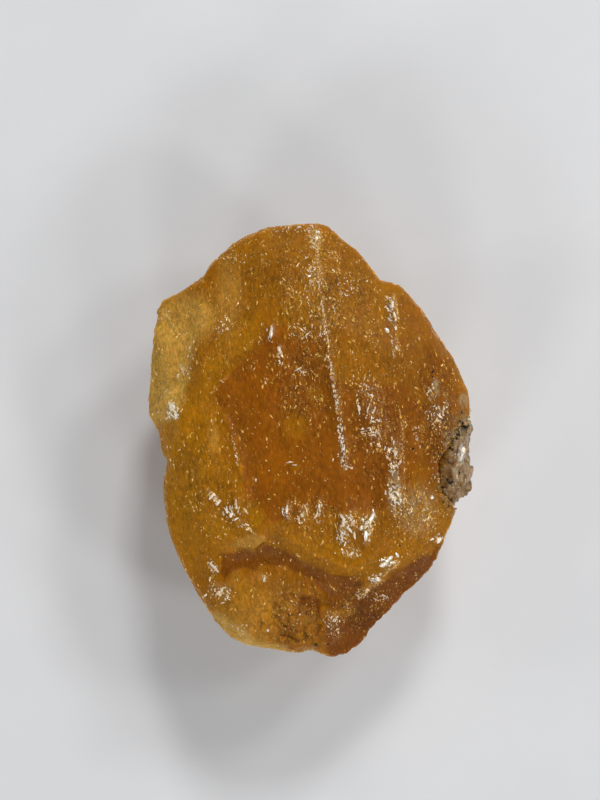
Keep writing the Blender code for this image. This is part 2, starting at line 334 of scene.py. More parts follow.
@dataclass(frozen=True)
class WornLine(Trace):
    """A step or ridge that the stone has worn smooth, and how far from it the wear reaches."""

    width: float
    core: float = 0.4

    def shape(self, x: np.ndarray, y: np.ndarray) -> np.ndarray:
        """Gives how worn each place is."""
        return 1 - smooth_step(self.core * self.width, self.width, self.measure(x, y)[0])


Zone = Region | Patch


def strongest(zones: tuple[Zone | WornLine, ...], x: np.ndarray, y: np.ndarray) -> np.ndarray:
    """The strongest of some zones or worn lines at each place.

    Args:
        zones: the zones or worn lines.
        x: the places' x.
        y: the places' y.

    Returns:
        One strength for each place.
    """
    return np.max([zone.shape(x, y) for zone in zones], axis=0)


# Node trees


class Graph:
    """Adds nodes to one tree and joins them up."""

    def __init__(self, tree: bpy.types.NodeTree) -> None:
        """Keeps the tree that is worked on."""
        self.tree = tree

    def plug(self, node: bpy.types.Node, plugs: Plugs) -> None:
        """Feeds a node.

        Args:
            node: the node.
            plugs: what goes into its sockets: another node's output, or a value.
        """
        for name, plug in plugs.items():
            if isinstance(plug, Socket):
                self.tree.links.new(plug, node.inputs[name])
            else:
                node.inputs[name].default_value = plug

    def add(self, kind: str, plugs: Plugs | None = None, **settings: object) -> bpy.types.Node:
        """Adds one node.

        Args:
            kind: the node's type.
            plugs: what goes into its sockets.
            settings: the node's own settings.

        Returns:
            The new node.
        """
        node = self.tree.nodes.new(kind)
        for name, setting in settings.items():
            setattr(node, name, setting)
        self.plug(node, plugs or {})
        return node

    def math(self, operation: str, first: Plug, second: Plug, clamp: bool = False) -> Socket:
        """The result of one sum on numbers."""
        node = self.add("ShaderNodeMath", {0: first, 1: second}, operation=operation, use_clamp=clamp)
        return node.outputs[0]

    def times(self, first: Plug, second: Plug, clamp: bool = False) -> Socket:
        """One number times another."""
        return self.math("MULTIPLY", first, second, clamp)

    def plus(self, first: Plug, second: Plug, clamp: bool = False) -> Socket:
        """One number and another."""
        return self.math("ADD", first, second, clamp)

    def vector(self, operation: str, first: Plug, second: Plug = (0.0, 0.0, 0.0)) -> Socket:
        """The result of one sum on vectors."""
        return self.add("ShaderNodeVectorMath", {0: first, 1: second}, operation=operation).outputs[0]

    def stretched(self, place: Plug, scales: Triple) -> Socket:
        """A place with each axis scaled on its own."""
        return self.vector("MULTIPLY", place, scales)

    def scaled(self, vector: Plug, scale: Plug) -> Socket:
        """A vector times a number."""
        return self.add("ShaderNodeVectorMath", {0: vector, "Scale": scale}, operation="SCALE").outputs[0]

    def mix(self, share: Plug, first: Plug, second: Plug, blend: str = "MIX") -> Socket:
        """Two colours blended."""
        settings = {"data_type": "RGBA", "blend_type": blend, "clamp_factor": True}
        return self.add("ShaderNodeMix", {0: share, 6: first, 7: second}, **settings).outputs[2]

    def spread(self, value: Plug, low: Plug, high: Plug, bottom: Plug, top: Plug) -> Socket:
        """A number carried from one range to another and held inside it."""
        plugs = {"Value": value, "From Min": low, "From Max": high, "To Min": bottom, "To Max": top}
        return self.add("ShaderNodeMapRange", plugs).outputs[0]

    def noise(self, place: Plug, scale: float, detail: float = 3.0, rough: float = 0.55) -> Socket:
        """Smooth noise, mostly from 0.3 to 0.7."""
        plugs = {"Vector": place, "Scale": scale, "Detail": detail, "Roughness": rough}
        return self.add("ShaderNodeTexNoise", plugs).outputs[0]

    def grey(self, value: Plug) -> Socket:
        """A grey as bright as a number, which may be over 1."""
        return self.add("ShaderNodeCombineXYZ", {0: value, 1: value, 2: value}).outputs[0]

    def mark(self, mark: Mark) -> Socket:
        """One of the marks kept on the mesh."""
        return self.add("ShaderNodeAttribute", attribute_name=mark.value).outputs["Fac"]

    def millimetres(self) -> Socket:
        """The place on the piece, in millimetres."""
        return self.scaled(self.add("ShaderNodeTexCoord").outputs["Object"], 1 / MM)


class EtchedSkin:
    """The group that every mineral's material uses for its etched, slightly facetted surface, and for the
    etch specks that the materials paint as glints.
    """

    NAME = "etched skin"
    INPUTS = {"Facet Size": 0.7, "Facet Tilt": 0.3, "Pit Depth": 0.3, "Painted Glint Share": 0.1}
    FACETS_PER_MM = (1.0, 0.5, 0.8)
    LARGE_SPECKS_PER_MM = (2.9, 1.3, 2.2)
    SMALL_SPECKS_PER_MM = (6.1, 2.4, 4.6)
    SMALL_SPECK_SHINE = 0.7
    GRIT_PER_MM = 3.1
    GRAIN_PER_MM = (4.6, 1.9, 3.6)
    STREAKS_PER_MM = (3.4, 0.5, 1.6)
    PIT_REACH = 0.2 * MM

    def __init__(self) -> None:
        """Builds the group once."""
        tree = bpy.data.node_groups.new(self.NAME, "ShaderNodeTree")
        tree.interface.new_socket("Place", in_out="INPUT", socket_type="NodeSocketVector")
        for name, value in self.INPUTS.items():
            socket = tree.interface.new_socket(name, in_out="INPUT", socket_type="NodeSocketFloat")
            socket.default_value = value
        for name in ("Normal", "Grit", "Grain", "Painted Glint"):
            kind = "NodeSocketVector" if name == "Normal" else "NodeSocketFloat"
            tree.interface.new_socket(name, in_out="OUTPUT", socket_type=kind)
        graph = Graph(tree)
        given = graph.add("NodeGroupInput").outputs
        turned = {"Vector": given["Place"], "Angle": math.radians(GRAIN_OF_STONE)}
        slanted = graph.add("ShaderNodeVectorRotate", turned, rotation_type="Z_AXIS").outputs[0]
        stretched = graph.stretched(slanted, self.FACETS_PER_MM)
        facets = self._cells(graph, graph.scaled(stretched, graph.math("DIVIDE", 1.0, given["Facet Size"])))
        large = self._specks(graph, slanted, self.LARGE_SPECKS_PER_MM, given["Painted Glint Share"])
        small = self._specks(graph, slanted, self.SMALL_SPECKS_PER_MM, given["Painted Glint Share"])
        # How strongly each place gets a painted glint, from the two sizes of etch speck.
        painted_glint_speck = graph.math("MAXIMUM", large, graph.times(small, self.SMALL_SPECK_SHINE))
        leaning = graph.vector("SUBTRACT", facets.outputs["Color"], (0.5, 0.5, 0.5))
        normal = graph.add("ShaderNodeNewGeometry").outputs["Normal"]
        tilted = graph.vector("ADD", normal, graph.scaled(leaning, given["Facet Tilt"]))
        grit = graph.noise(given["Place"], self.GRIT_PER_MM, 4.0, 0.6)
        grain = graph.noise(graph.stretched(slanted, self.GRAIN_PER_MM), 1.0, 3.0, 0.65)
        streaks = graph.noise(graph.stretched(slanted, self.STREAKS_PER_MM), 1.0, 3.0)
        relief = graph.plus(graph.times(grit, 0.6), graph.times(streaks, 0.6))
        relief = graph.plus(relief, graph.times(grain, 0.5))
        pitted = {
            "Strength": given["Pit Depth"],
            "Distance": self.PIT_REACH,
            "Height": relief,
            "Normal": graph.vector("NORMALIZE", tilted),
        }
        bump = graph.add("ShaderNodeBump", pitted).outputs[0]
        graph.add("NodeGroupOutput", {"Normal": bump, "Grit": grit, "Grain": grain, "Painted Glint": painted_glint_speck})
        self.tree = tree

    @staticmethod
    def _cells(graph: Graph, place: Plug) -> bpy.types.Node:
        """Voronoi cells at a place that is already scaled."""
        return graph.add("ShaderNodeTexVoronoi", {"Vector": place, "Scale": 1.0}, voronoi_dimensions="3D")

    def _specks(self, graph: Graph, place: Plug, per_millimetre: Triple, share: Plug) -> Socket:
        """Etch specks of one size, which the materials paint as glints.

        Args:
            graph: the group's tree.
            place: the place in millimetres.
            per_millimetre: how many cells there are in a millimetre along x, y and z.
            share: the share of cells that hold a speck.

        Returns:
            How bright the speck is, from 0 to 1.
        """
        cells = self._cells(graph, graph.stretched(place, per_millimetre))
        chance = graph.add("ShaderNodeSeparateColor", {0: cells.outputs["Color"]})
        opened = graph.math("GREATER_THAN", chance.outputs[0], graph.math("SUBTRACT", 1.0, share))
        bright = graph.spread(graph.math("POWER", chance.outputs[1], 1.6), 0.0, 1.0, 0.2, 1.0)
        dot = graph.spread(cells.outputs["Distance"], 0.14, 0.38, 1.0, 0.0)
        return graph.times(graph.times(opened, bright), dot)

    def place_in(self, graph: Graph, size: float, tilt: Plug, pits: Plug, sparks: Plug) -> dict[str, Socket]:
        """Puts the group into a material.

        Args:
            graph: the material's tree.
            size: the facets' size in millimetres.
            tilt: how far they lean.
            pits: how strongly the pits and streaks show.
            sparks: the share of etch pits that get a painted glint.

        Returns:
            The group's outputs by name.
        """
        node = graph.add("ShaderNodeGroup", node_tree=self.tree)
        graph.plug(node, {"Place": graph.millimetres(), **dict(zip(self.INPUTS, (size, tilt, pits, sparks)))})
        return {output.name: output for output in node.outputs}


# Finishes


@dataclass(frozen=True)
class Finish:
    """What every finish has: a name, and a Principled material that its dress method feeds."""

    name: str

    def material(self, skin: EtchedSkin) -> bpy.types.Material:
        """Builds the material.

        Args:
            skin: the shared surface group.

        Returns:
            The finished material.
        """
        material = bpy.data.materials.new(self.name)
        material.use_nodes = True
        graph = Graph(material.node_tree)
        graph.plug(material.node_tree.nodes["Principled BSDF"], self.dress(graph, skin))
        return material

    def dress(self, graph: Graph, skin: EtchedSkin) -> Plugs:
        """Says what goes into each socket of the shader.

        Args:
            graph: the material's tree.
            skin: the shared surface group.

        Returns:
            The plugs by the sockets' names.
        """
        raise NotImplementedError


@dataclass(frozen=True)
class ScheeliteFinish(Finish):
    """Translucent amber: golden near the edges, deep orange in the middle, frosted where rubbed, with a
    painted glow on the foot's ledge, painted shadow under it and on the lower-right face, and painted glints
    in the etch specks.
    """

    name: str = "scheelite"
    honey: Colour = (0.425, 0.165, 0.001, 1.0)
    amber: Colour = (0.36, 0.112, 0.0005, 1.0)
    # gold is also the colour of the painted glow on the foot's ledge.
    gold: Colour = (0.51, 0.22, 0.0008, 1.0)
    straw: Colour = (0.74, 0.45, 0.085, 1.0)
    # umber is also the colour of the painted shadow under the ledge, on the lower-right face and in the
    # shattered facets' gaps.
    umber: Colour = (0.22, 0.062, 0.001, 1.0)
    grey: Colour = (0.42, 0.29, 0.15, 1.0)
    frost: Colour = (0.90, 0.64, 0.34, 1.0)
    # speck is the colour of the etch specks: a painted glint.
    speck: Colour = (0.92, 0.55, 0.08, 1.0)
    facet_size: float = 0.8
    refraction: float = 1.92
    lustre: float = 0.015
    clearness: float = 0.1
    absorbed: Colour = (0.985, 0.80, 0.18, 1.0)
    absorption: float = 260.0
    glow_reach: Triple = (1.0, 0.42, 0.08)
    glow_depth: float = 0.9 * MM
    stretch: Triple = (1.0, 0.55, 0.8)
    mottle_stretch: Triple = (1.0, 0.6, 0.8)

    def dress(self, graph: Graph, skin: EtchedSkin) -> Plugs:
        """Mixes the stone's zones of colour, with painted glow and painted shadow among them, then its
        clouds, grain, frost and the specks painted as glints.

        Args:
            graph: the material's tree.
            skin: the shared surface group.

        Returns:
            The plugs by the sockets' names.
        """
        place = graph.millimetres()
        streaked = graph.stretched(place, self.stretch)
        frost, etch = graph.mark(Mark.FROST), graph.mark(Mark.ETCH)
        tint: Plug = self.honey
        colours = (self.amber, self.gold, self.straw, self.umber)
        for mark, colour in zip((Mark.AMBER, Mark.GOLD_AND_GLOW, Mark.STRAW, Mark.UMBER_AND_SHADE), colours):
            tint = graph.mix(graph.mark(mark), tint, colour)
        cleared = graph.spread(graph.noise(streaked, 1.5, 4.0, 0.65), 0.4, 0.6, 0.0, 1.3)
        tint = graph.mix(graph.times(graph.mark(Mark.GREY), cleared, clamp=True), tint, self.grey)
        clouds = graph.spread(graph.noise(streaked, 0.4, 5.0, 0.6), 0.3, 0.7, 0.82, 1.16)
        mottle = graph.noise(graph.stretched(place, self.mottle_stretch), 2.1, 3.0, 0.6)
        clouded = graph.plus(clouds, graph.spread(mottle, 0.3, 0.7, -0.15, 0.15))
        shade = graph.math("SUBTRACT", clouded, graph.times(etch, 0.14))
        skinned = skin.place_in(
            graph,
            self.facet_size,
            graph.spread(frost, 0.0, 0.8, 0.1, 0.6),
            graph.plus(graph.times(etch, 0.7), 0.4),
            graph.plus(graph.times(etch, 0.28), 0.07),
        )
        grit, painted_glint_speck = skinned["Grit"], skinned["Painted Glint"]
        grain = graph.spread(skinned["Grain"], 0.32, 0.68, -0.5, 0.5)
        grain = graph.times(grain, graph.plus(graph.times(etch, 0.5), 0.42))
        tint = graph.mix(1.0, tint, graph.grey(graph.plus(shade, grain)), "MULTIPLY")
        rubbed = graph.times(frost, graph.spread(grit, 0.42, 0.6, 0.0, 1.0), clamp=True)
        tint = graph.mix(graph.times(rubbed, 0.35), tint, self.frost)
        absorbing = {"Color": self.absorbed, "Density": self.absorption}
        volume = graph.add("ShaderNodeVolumeAbsorption", absorbing).outputs[0]
        graph.plug(graph.tree.nodes["Material Output"], {"Volume": volume})
        rough = graph.spread(grit, 0.3, 0.7, 0.38, 0.52)
        return {
            # The etch specks are painted glints: the base colour goes towards the speck colour, and the
            # roughness drops a little.
            "Base Color": graph.mix(graph.times(painted_glint_speck, 0.85), tint, self.speck),
            "Roughness": graph.math("SUBTRACT", rough, graph.times(painted_glint_speck, 0.12)),
            "Normal": skinned["Normal"],
            "Specular IOR Level": self.lustre,
            "IOR": self.refraction,
            "Transmission Weight": self.clearness,
            "Subsurface Weight": 1.0,
            "Subsurface Radius": self.glow_reach,
            "Subsurface Scale": self.glow_depth,
        }


@dataclass(frozen=True)
class CrumbFinish(Finish):
    """Bright cleavage chips, from honey to nearly white, whitest where the stone is rubbed."""

    name: str = "cleavage_crumbs"
    warm: Colour = (0.90, 0.50, 0.065, 1.0)
    white: Colour = (1.0, 0.74, 0.36, 1.0)
    whiteness: float = 0.0
    roughness: Spot = (0.15, 0.35)
    refraction: float = 1.92
    lustre: float = 0.25
    mirror: float = 0.0

    def dress(self, graph: Graph, skin: EtchedSkin) -> Plugs:
        """Mixes the two tints in patches.

        Args:
            graph: the material's tree.
            skin: the shared surface group.

        Returns:
            The plugs by the sockets' names.
        """
        patches = graph.spread(graph.noise(graph.millimetres(), 3.1, 2.0), 0.40, 0.66, -0.25, 1.0)
        rubbed = graph.times(graph.plus(graph.mark(Mark.FROST), self.whiteness), 0.7)
        skinned = skin.place_in(graph, 0.3, 0.3, 0.2, 0.2)
        return {
            "Base Color": graph.mix(graph.plus(patches, rubbed, clamp=True), self.warm, self.white),
            "Roughness": graph.spread(skinned["Grit"], 0.3, 0.7, *self.roughness),
            "Normal": skinned["Normal"],
            "IOR": self.refraction,
            "Specular IOR Level": self.lustre,
            "Metallic": self.mirror,
        }


@dataclass(frozen=True)
class QuartzFinish(Finish):
    """Smoky quartz, clouded with brown and stained towards the stone, with a painted glint and etch specks
    painted as glints.
    """

    name: str = "quartz"
    clear: Colour = (0.80, 0.56, 0.31, 1.0)
    veil: Colour = (0.40, 0.23, 0.09, 1.0)
    # speck and glint are painted glints: the etch specks, and one bright patch near the top.
    speck: Colour = (0.85, 0.72, 0.52, 1.0)
    glint: Colour = (1.0, 0.97, 0.90, 1.0)
    stained: Colour = (0.42, 0.17, 0.012, 1.0)
    stain_from: float = 14.3
    stain_to: float = 12.9
    refraction: float = 1.54
    clearness: float = 0.5
    glow: float = 0.6
    glow_reach: Triple = (1.0, 0.7, 0.4)
    glow_depth: float = 0.8 * MM
    stretch: Triple = (1.0, 0.55, 0.8)

    def dress(self, graph: Graph, skin: EtchedSkin) -> Plugs:
        """Mixes the quartz's veils, its stain, its specks painted as glints and its painted glint.

        Args:
            graph: the material's tree.
            skin: the shared surface group.

        Returns:
            The plugs by the sockets' names.
        """
        place = graph.millimetres()
        veils = graph.noise(graph.stretched(place, self.stretch), 1.3, 4.0, 0.7)
        tint = graph.mix(graph.spread(veils, 0.42, 0.6, 0.0, 1.0), self.clear, self.veil)
        across = graph.add("ShaderNodeSeparateXYZ", {0: place}).outputs[0]
        stain = graph.spread(across, self.stain_from, self.stain_to, 0.0, 0.85)
        ragged = graph.spread(graph.noise(place, 0.9, 3.0), 0.35, 0.65, -0.35, 0.35)
        tint = graph.mix(graph.plus(stain, ragged, clamp=True), tint, self.stained)
        skinned = skin.place_in(graph, 0.34, 0.9, 0.6, 0.3)
        # The etch specks are painted glints.
        tint = graph.mix(graph.times(skinned["Painted Glint"], 0.7), tint, self.speck)
        # A painted glint where the frost mark holds the glint patch.
        painted_glint_mask = graph.times(graph.mark(Mark.FROST), graph.spread(skinned["Grit"], 0.36, 0.5, 0.55, 1.0))
        return {
            "Base Color": graph.mix(painted_glint_mask, tint, self.glint),
            "Roughness": graph.spread(skinned["Grit"], 0.3, 0.7, 0.08, 0.22),
            "Normal": skinned["Normal"],
            "Subsurface Weight": self.glow,
            "Subsurface Radius": self.glow_reach,
            "Subsurface Scale": self.glow_depth,
            "IOR": self.refraction,
            "Transmission Weight": self.clearness,
        }


@dataclass(frozen=True)
class GrainFinish(Finish):
    """Black ore with a dull glint."""

    name: str = "black_ore"
    dark: Colour = (0.016, 0.010, 0.005, 1.0)
    light: Colour = (0.06, 0.038, 0.018, 1.0)
    lustre: float = 0.3

    def dress(self, graph: Graph, skin: EtchedSkin) -> Plugs:
        """Mixes the two blacks by the skin's grit.

        Args:
            graph: the material's tree.
            skin: the shared surface group.

        Returns:
            The plugs by the sockets' names.
        """
        skinned = skin.place_in(graph, 0.3, 0.5, 0.5, 0.05)
        grit = skinned["Grit"]
        return {
            "Base Color": graph.mix(graph.spread(grit, 0.4, 0.65, 0.0, 1.0), self.dark, self.light),
            "Roughness": graph.spread(grit, 0.3, 0.7, 0.25, 0.5),
            "Normal": skinned["Normal"],
            "Specular IOR Level": self.lustre,
        }


@dataclass(frozen=True)
class TableFinish(Finish):
    """A matt pale grey table."""

    name: str = "pale_table"
    light: Colour = (0.80, 0.825, 0.875, 1.0)
    dark: Colour = (0.77, 0.795, 0.845, 1.0)
    roughness: float = 0.9
    lustre: float = 0.1

    def dress(self, graph: Graph, skin: EtchedSkin) -> Plugs:
        """Clouds the table a little.

        Args:
            graph: the material's tree.
            skin: the shared surface group, which the table leaves out.

        Returns:
            The plugs by the sockets' names.
        """
        cloud = graph.spread(graph.noise(graph.millimetres(), 0.05, 4.0, 0.6), 0.35, 0.65, 0.0, 1.0)
        return {
            "Base Color": graph.mix(cloud, self.light, self.dark),
            "Roughness": self.roughness,
            "Specular IOR Level": self.lustre,
        }


# The stone and the quartz


class FineMesh:
    """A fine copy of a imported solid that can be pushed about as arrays."""

    PULL = 0.8

    def __init__(self, name: str, node: str, voxel: float, smoothing: int) -> None:
        """Copies the solid, welds its corners and covers it with an even fine mesh.

        Args:
            name: the new piece's name.
            node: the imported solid's node.
            voxel: the fine mesh's spacing in metres.
            smoothing: how many rounds of smoothing take out the coarse facets.
        """
        welded = bmesh.new()
        welded.from_mesh(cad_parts[node].data)
        bmesh.ops.remove_doubles(welded, verts=welded.verts[:], dist=0.002 * MM)
        data = bpy.data.meshes.new(name)
        welded.to_mesh(data)
        welded.free()
        coarse = bpy.data.objects.new(name, data)
        bpy.context.scene.collection.objects.link(coarse)
        remesh = coarse.modifiers.new("Even mesh", "REMESH")
        remesh.mode = "VOXEL"
        remesh.voxel_size = voxel
        smooth = coarse.modifiers.new("Worn facets", "SMOOTH")
        smooth.factor = 0.5
        smooth.iterations = smoothing
        evaluated = coarse.evaluated_get(bpy.context.evaluated_depsgraph_get())
        self.mesh = bpy.data.meshes.new_from_object(evaluated)
        bpy.data.objects.remove(coarse)
        self.mesh.name = name
        self.name = name
        self.node = node

    def _read(self, values: bpy.types.bpy_prop_collection, name: str) -> np.ndarray:
        """One vector for each vertex."""
        flat = np.zeros(len(self.mesh.vertices) * 3, dtype=np.float32)
        values.foreach_get(name, flat)
        return flat.reshape(-1, 3).astype(float)

    def places(self) -> np.ndarray:
        """The vertices in millimetres."""
        return self._read(self.mesh.vertices, "co") / MM

    def normals(self) -> np.ndarray:
        """The vertices' normals."""
        return self._read(self.mesh.vertex_normals, "vector")

    def move_to(self, places: np.ndarray) -> None:
        """Puts the vertices at these places, in millimetres."""
        self.mesh.vertices.foreach_set("co", (places * MM).astype(np.float32).ravel())
        self.mesh.update()

    def relax(self, places: np.ndarray, mask: np.ndarray, rounds: int) -> np.ndarray:
        """Draws vertices towards the middle of their neighbours.

        Args:
            places: the vertices' places in millimetres.
            mask: how strongly each vertex is drawn, from 0 to 1.
            rounds: how many times.

        Returns:
            The relaxed places.
        """
        ends = np.zeros(len(self.mesh.edges) * 2, dtype=np.int32)
        self.mesh.edges.foreach_get("vertices", ends)
        first, second = ends[0::2], ends[1::2]
        count = np.bincount(ends, minlength=len(places))[:, None]
        places = places.copy()
        for _ in range(rounds):
            total = np.empty_like(places)
            for axis in range(3):
                total[:, axis] = np.bincount(first, places[second, axis], len(places))
                total[:, axis] += np.bincount(second, places[first, axis], len(places))
            places += (total / count - places) * self.PULL * mask[:, None]
        return places

    def keep(self, mark: Mark, values: np.ndarray) -> None:
        """Keeps one number from 0 to 1 for each vertex as a mark."""
        attribute = self.mesh.attributes.new(mark.value, "FLOAT", "POINT")
        attribute.data.foreach_set("value", np.clip(values, 0.0, 1.0).astype(np.float32))

    def hold_in_box(self, places: np.ndarray) -> np.ndarray:
        """Draws places that left the solid's own box back into it.

        Args:
            places: the vertices' new places in millimetres.

        Returns:
            The places, inside the box.
        """
        low, high = (np.array(corner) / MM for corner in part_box(self.node))
        middle, half = (low + high) / 2, (high - low) / 2
        reach = np.abs(places - middle).max(axis=0)
        shrink = np.minimum(1.0, half / reach)
        lifted = (low[2] - places[:, 2]).clip(0.0)
        places = middle + (places - middle) * np.array([shrink[0], shrink[1], 1.0])
        places[:, 2] += lifted
        over = places[:, 2].max() / high[2]
        places[:, 2] /= max(over, 1.0)
        return places

    def tree(self, places: np.ndarray | None = None) -> BVHTree:
        """Builds a tree for finding places on the mesh.

        Args:
            places: where the vertices are taken to be, or None for where they are in metres.

        Returns:
            The tree.
        """
        corners = self._read(self.mesh.vertices, "co") if places is None else places
        faces = [tuple(face.vertices) for face in self.mesh.polygons]
        return BVHTree.FromPolygons([Vector(corner) for corner in corners], faces)

    def finished(self, material: bpy.types.Material, slot: str) -> bpy.types.Object:
        """Makes the piece, dresses it and lets it stand for its solid.

        Args:
            material: what the piece is made of.
            slot: not used.

        Returns:
            The finished piece.
        """
        self.mesh.materials.clear()
        self.mesh.materials.append(material)
        self.mesh.shade_smooth()
        piece = bpy.data.objects.new(self.name, self.mesh)
        bpy.context.scene.collection.objects.link(piece)
        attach(piece, BODY)
        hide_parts(self.node)
        return piece


@dataclass
class Scheelite:
    """The amber stone's fine surface: lengths in millimetres, but for the voxel in metres."""

    node: str = "scheelite_crystal"
    voxel: float = 0.000223
    smoothing: int = 5
    girdle: float = 12.0
    wear_rounds: int = 70
    straying: float = 0.18
    strays: tuple[Ripple, Ripple] = rows(Ripple, ((1.3, 1.6, 50.0), 31), ((1.3, 1.6, 50.0), 32))
    crumble: Ripple = Ripple((0.7, 0.8, 0.7), 21)
    broken: Ripple = Ripple((0.9, 1.4, 9.0), 23)
    grit: Ripple = Ripple((0.45, 0.7, 0.5), 22)
    rim_frost: Ripple = Ripple((0.8, 0.9, 0.8), 27)
    rim_chips: Ripple = Ripple((0.7, 0.8, 0.9), 45)
    rim_grit: Ripple = Ripple((0.35, 0.4, 0.5), 46)
    long_waves: Ripple = Ripple((2.1, 3.4, 2.1), 41)
    short_waves: Ripple = Ripple((0.9, 1.9, 1.0), 42)
    streaks: Ripple = Ripple((0.6, 3.6, 1.6), 43)
    pits: Ripple = Ripple((0.55, 0.75, 0.6), 44)
    drift: Ripple = Ripple((4.0, 4.5, 4.0), 51)
    smearing: float = 0.35
    smears: tuple[Ripple, Ripple] = rows(Ripple, ((1.6, 1.9, 30.0), 52), ((1.6, 1.9, 30.0), 53))
    sinking: Ripple = Ripple((2.5, 2.5, 2.5), 55)
    quartz_middle: Triple = (16.0, -2.0, 12.8)
    quartz_reach: Triple = (3.6, 4.8, 4.3)
    quartz_halo: Ripple = Ripple((1.4, 1.8, 1.4), 54)
    shattered: Patch = Patch(-1.6, -17.4, 3.4, 3.2, 1.0, 0.4)
    shards: Facets = Facets((1.0, 1.2, 3.0))
    shard_tilt: float = 0.95
    seams: tuple[Seam, ...] = rows(
        Seam,
        (((0.2, 21.3), (0.4, 19.4), (0.6, 16.0), (0.9, 13.7), (1.4, 10.7), (1.7, 8.4), (2.0, 6.8),
         (2.4, 5.0), (2.7, 3.1), (3.1, 0.1), (3.2, -1.0), (3.4, -2.0), (3.9, -2.6)), 0.14, 0.09, 0.9, 0.17),
        (((-0.9, 17.2), (-0.5, 14.8), (-0.1, 12.3), (0.5, 9.7)), 0.15, 0.05, 0.35, 0.16),
        (((7.9, 14.8), (8.1, 13.1), (8.2, 11.2), (8.3, 8.7)), 0.26, 0.22, 0.75, 0.3),
        (((8.7, 3.0), (8.8, 0.5), (8.9, -3.3), (8.8, -7.0)), 0.16, 0.16, 0.6, 0.14),
        (((-8.4, 2.8), (-7.9, 1.4), (-7.6, 0.1), (-7.2, -1.3), (-6.8, -3.0), (-6.1, -5.6)), 0.12, 0.1, 0.38,
         0.08),
        (((-9.7, -0.7), (-9.5, -2.1), (-9.1, -3.7)), 0.12, 0.06, 0.22, 0.1),
        (((-10.4, -4.3), (-9.7, -5.2), (-9.1, -5.9)), 0.26, 0.2, 0.8, 0.22),
        (((-8.7, -6.3), (-8.0, -6.8), (-7.0, -7.7), (-6.3, -8.1), (-5.4, -9.1)), 0.2, 0.16, 0.6, 0.22),
        (((-7.1, -5.1), (-7.4, -6.0), (-7.8, -6.8)), 0.18, 0.16, 0.75, 0.18),
        (((-5.8, -5.5), (-6.5, -6.4), (-6.9, -7.0)), 0.16, 0.12, 0.5, 0.16),
        (((-9.7, 5.0), (-8.9, 5.9), (-8.1, 6.5)), 0.15, 0.08, 0.45, 0.12),
        (((8.5, -11.3), (6.5, -13.3), (5.3, -14.6), (4.5, -15.4)), 0.3, 0.22, 0.8, 0.3),
        (((-1.9, 7.5), (-1.2, 7.0), (-0.3, 6.8)), 0.12, 0.08, 0.6, 0.12),
        (((-0.9, 11.3), (-0.3, 10.8), (0.3, 10.5)), 0.12, 0.08, 0.5, 0.12),
        (((-10.0, -11.9), (-9.4, -13.2)), 0.25, 0.22, 0.8, 0.25),
        (((-12.0, 8.1), (-12.2, 7.0), (-12.3, 5.6), (-12.6, 3.8)), 0.2, 0.1, 0.35, 0.2),
        (((-6.1, -12.6), (-5.9, -14.2), (-5.6, -15.6)), 0.09, 0.08, 0.2, 0.1),
        (((-5.3, -12.7), (-5.2, -14.3), (-5.1, -15.8)), 0.09, 0.08, 0.15, 0.08),
        (((-3.3, -14.8), (-2.2, -14.6), (-0.6, -15.0)), 0.1, 0.1, 0.3, 0.1),
        (((-3.3, -16.5), (-2.4, -16.3), (-1.5, -16.5)), 0.1, 0.1, 0.3, 0.1),
        (((-1.1, -16.6), (-0.4, -17.4), (0.4, -18.2)), 0.1, 0.1, 0.3, 0.1),
        (((-6.9, -10.1), (-6.2, -10.5), (-5.7, -10.7)), 0.08, 0.05, 0.35, 0.08),
        (((-3.6, -11.1), (-2.0, -11.6), (0.2, -12.6), (2.4, -13.3)), 0.1, 0.05, 0.2, 0.08),
    )
    cracks: tuple[Crack, ...] = rows(
        Crack,
        (((-2.7, -1.8), (-1.9, -2.0), (-1.2, -2.0)), 0.1, 0.04, -0.6),
        (((-2.2, -2.3), (-1.6, -2.4), (-1.0, -2.4)), 0.1, 0.04, -0.6),
        (((-1.0, -2.3), (0.9, -2.5), (2.4, -2.7), (3.8, -2.9)), 0.12, 0.05, 0.4),
        (((-4.6, -9.6), (-5.0, -10.0), (-5.3, -10.3), (-5.7, -10.5)), 0.11, 0.16, 1.0),
        (((-5.9, -10.5), (-7.3, -10.4), (-8.3, -10.0)), 0.12, 0.03, 0.15),
        (((-0.6, -12.9), (0.6, -15.5), (0.2, -18.9), (1.2, -20.8)), 0.14, 0.12, 0.5),
        (((-3.4, -17.4), (-2.2, -19.0), (-2.9, -20.6)), 0.14, 0.12, 0.5),
        (((-2.1, -15.3), (-1.0, -16.8), (0.4, -17.4)), 0.14, 0.12, 0.5),
        (((-4.3, -12.9), (-3.7, -15.3), (-3.9, -17.8)), 0.12, 0.08, 0.3),
        (((-3.3, -15.1), (-2.1, -14.95), (-0.5, -15.3)), 0.11, 0.1, 0.6),
        (((-3.4, -18.1), (-2.4, -18.2), (-1.1, -18.9)), 0.14, 0.16, 0.9),
        (((-3.8, -17.1), (-3.5, -17.2), (-3.2, -17.4)), 0.13, 0.14, 1.0),
        (((-3.8, -16.2), (-3.5, -16.3), (-3.2, -16.3)), 0.1, 0.1, 0.9),
        (((-2.7, -16.8), (-1.6, -17.0), (-0.9, -17.7)), 0.11, 0.1, 0.6),
        (((-1.4, -18.4), (-0.3, -19.3), (0.4, -20.4)), 0.12, 0.12, 0.7),
        (((-2.9, -19.0), (-2.0, -19.6), (-1.0, -19.9)), 0.1, 0.1, 0.6),
        (((-4.9, -10.9), (-4.6, -11.6), (-4.5, -12.3)), 0.08, 0.06, 0.5),
        (((7.3, -0.1), (7.6, 0.2), (8.1, 0.4)), 0.1, 0.08, 0.7),
        (((-4.6, -9.8), (-3.4, -10.6), (-1.0, -12.0), (1.3, -13.0), (3.2, -13.2), (4.5, -13.0)), 0.14, 0.1,
         0.6),
    )
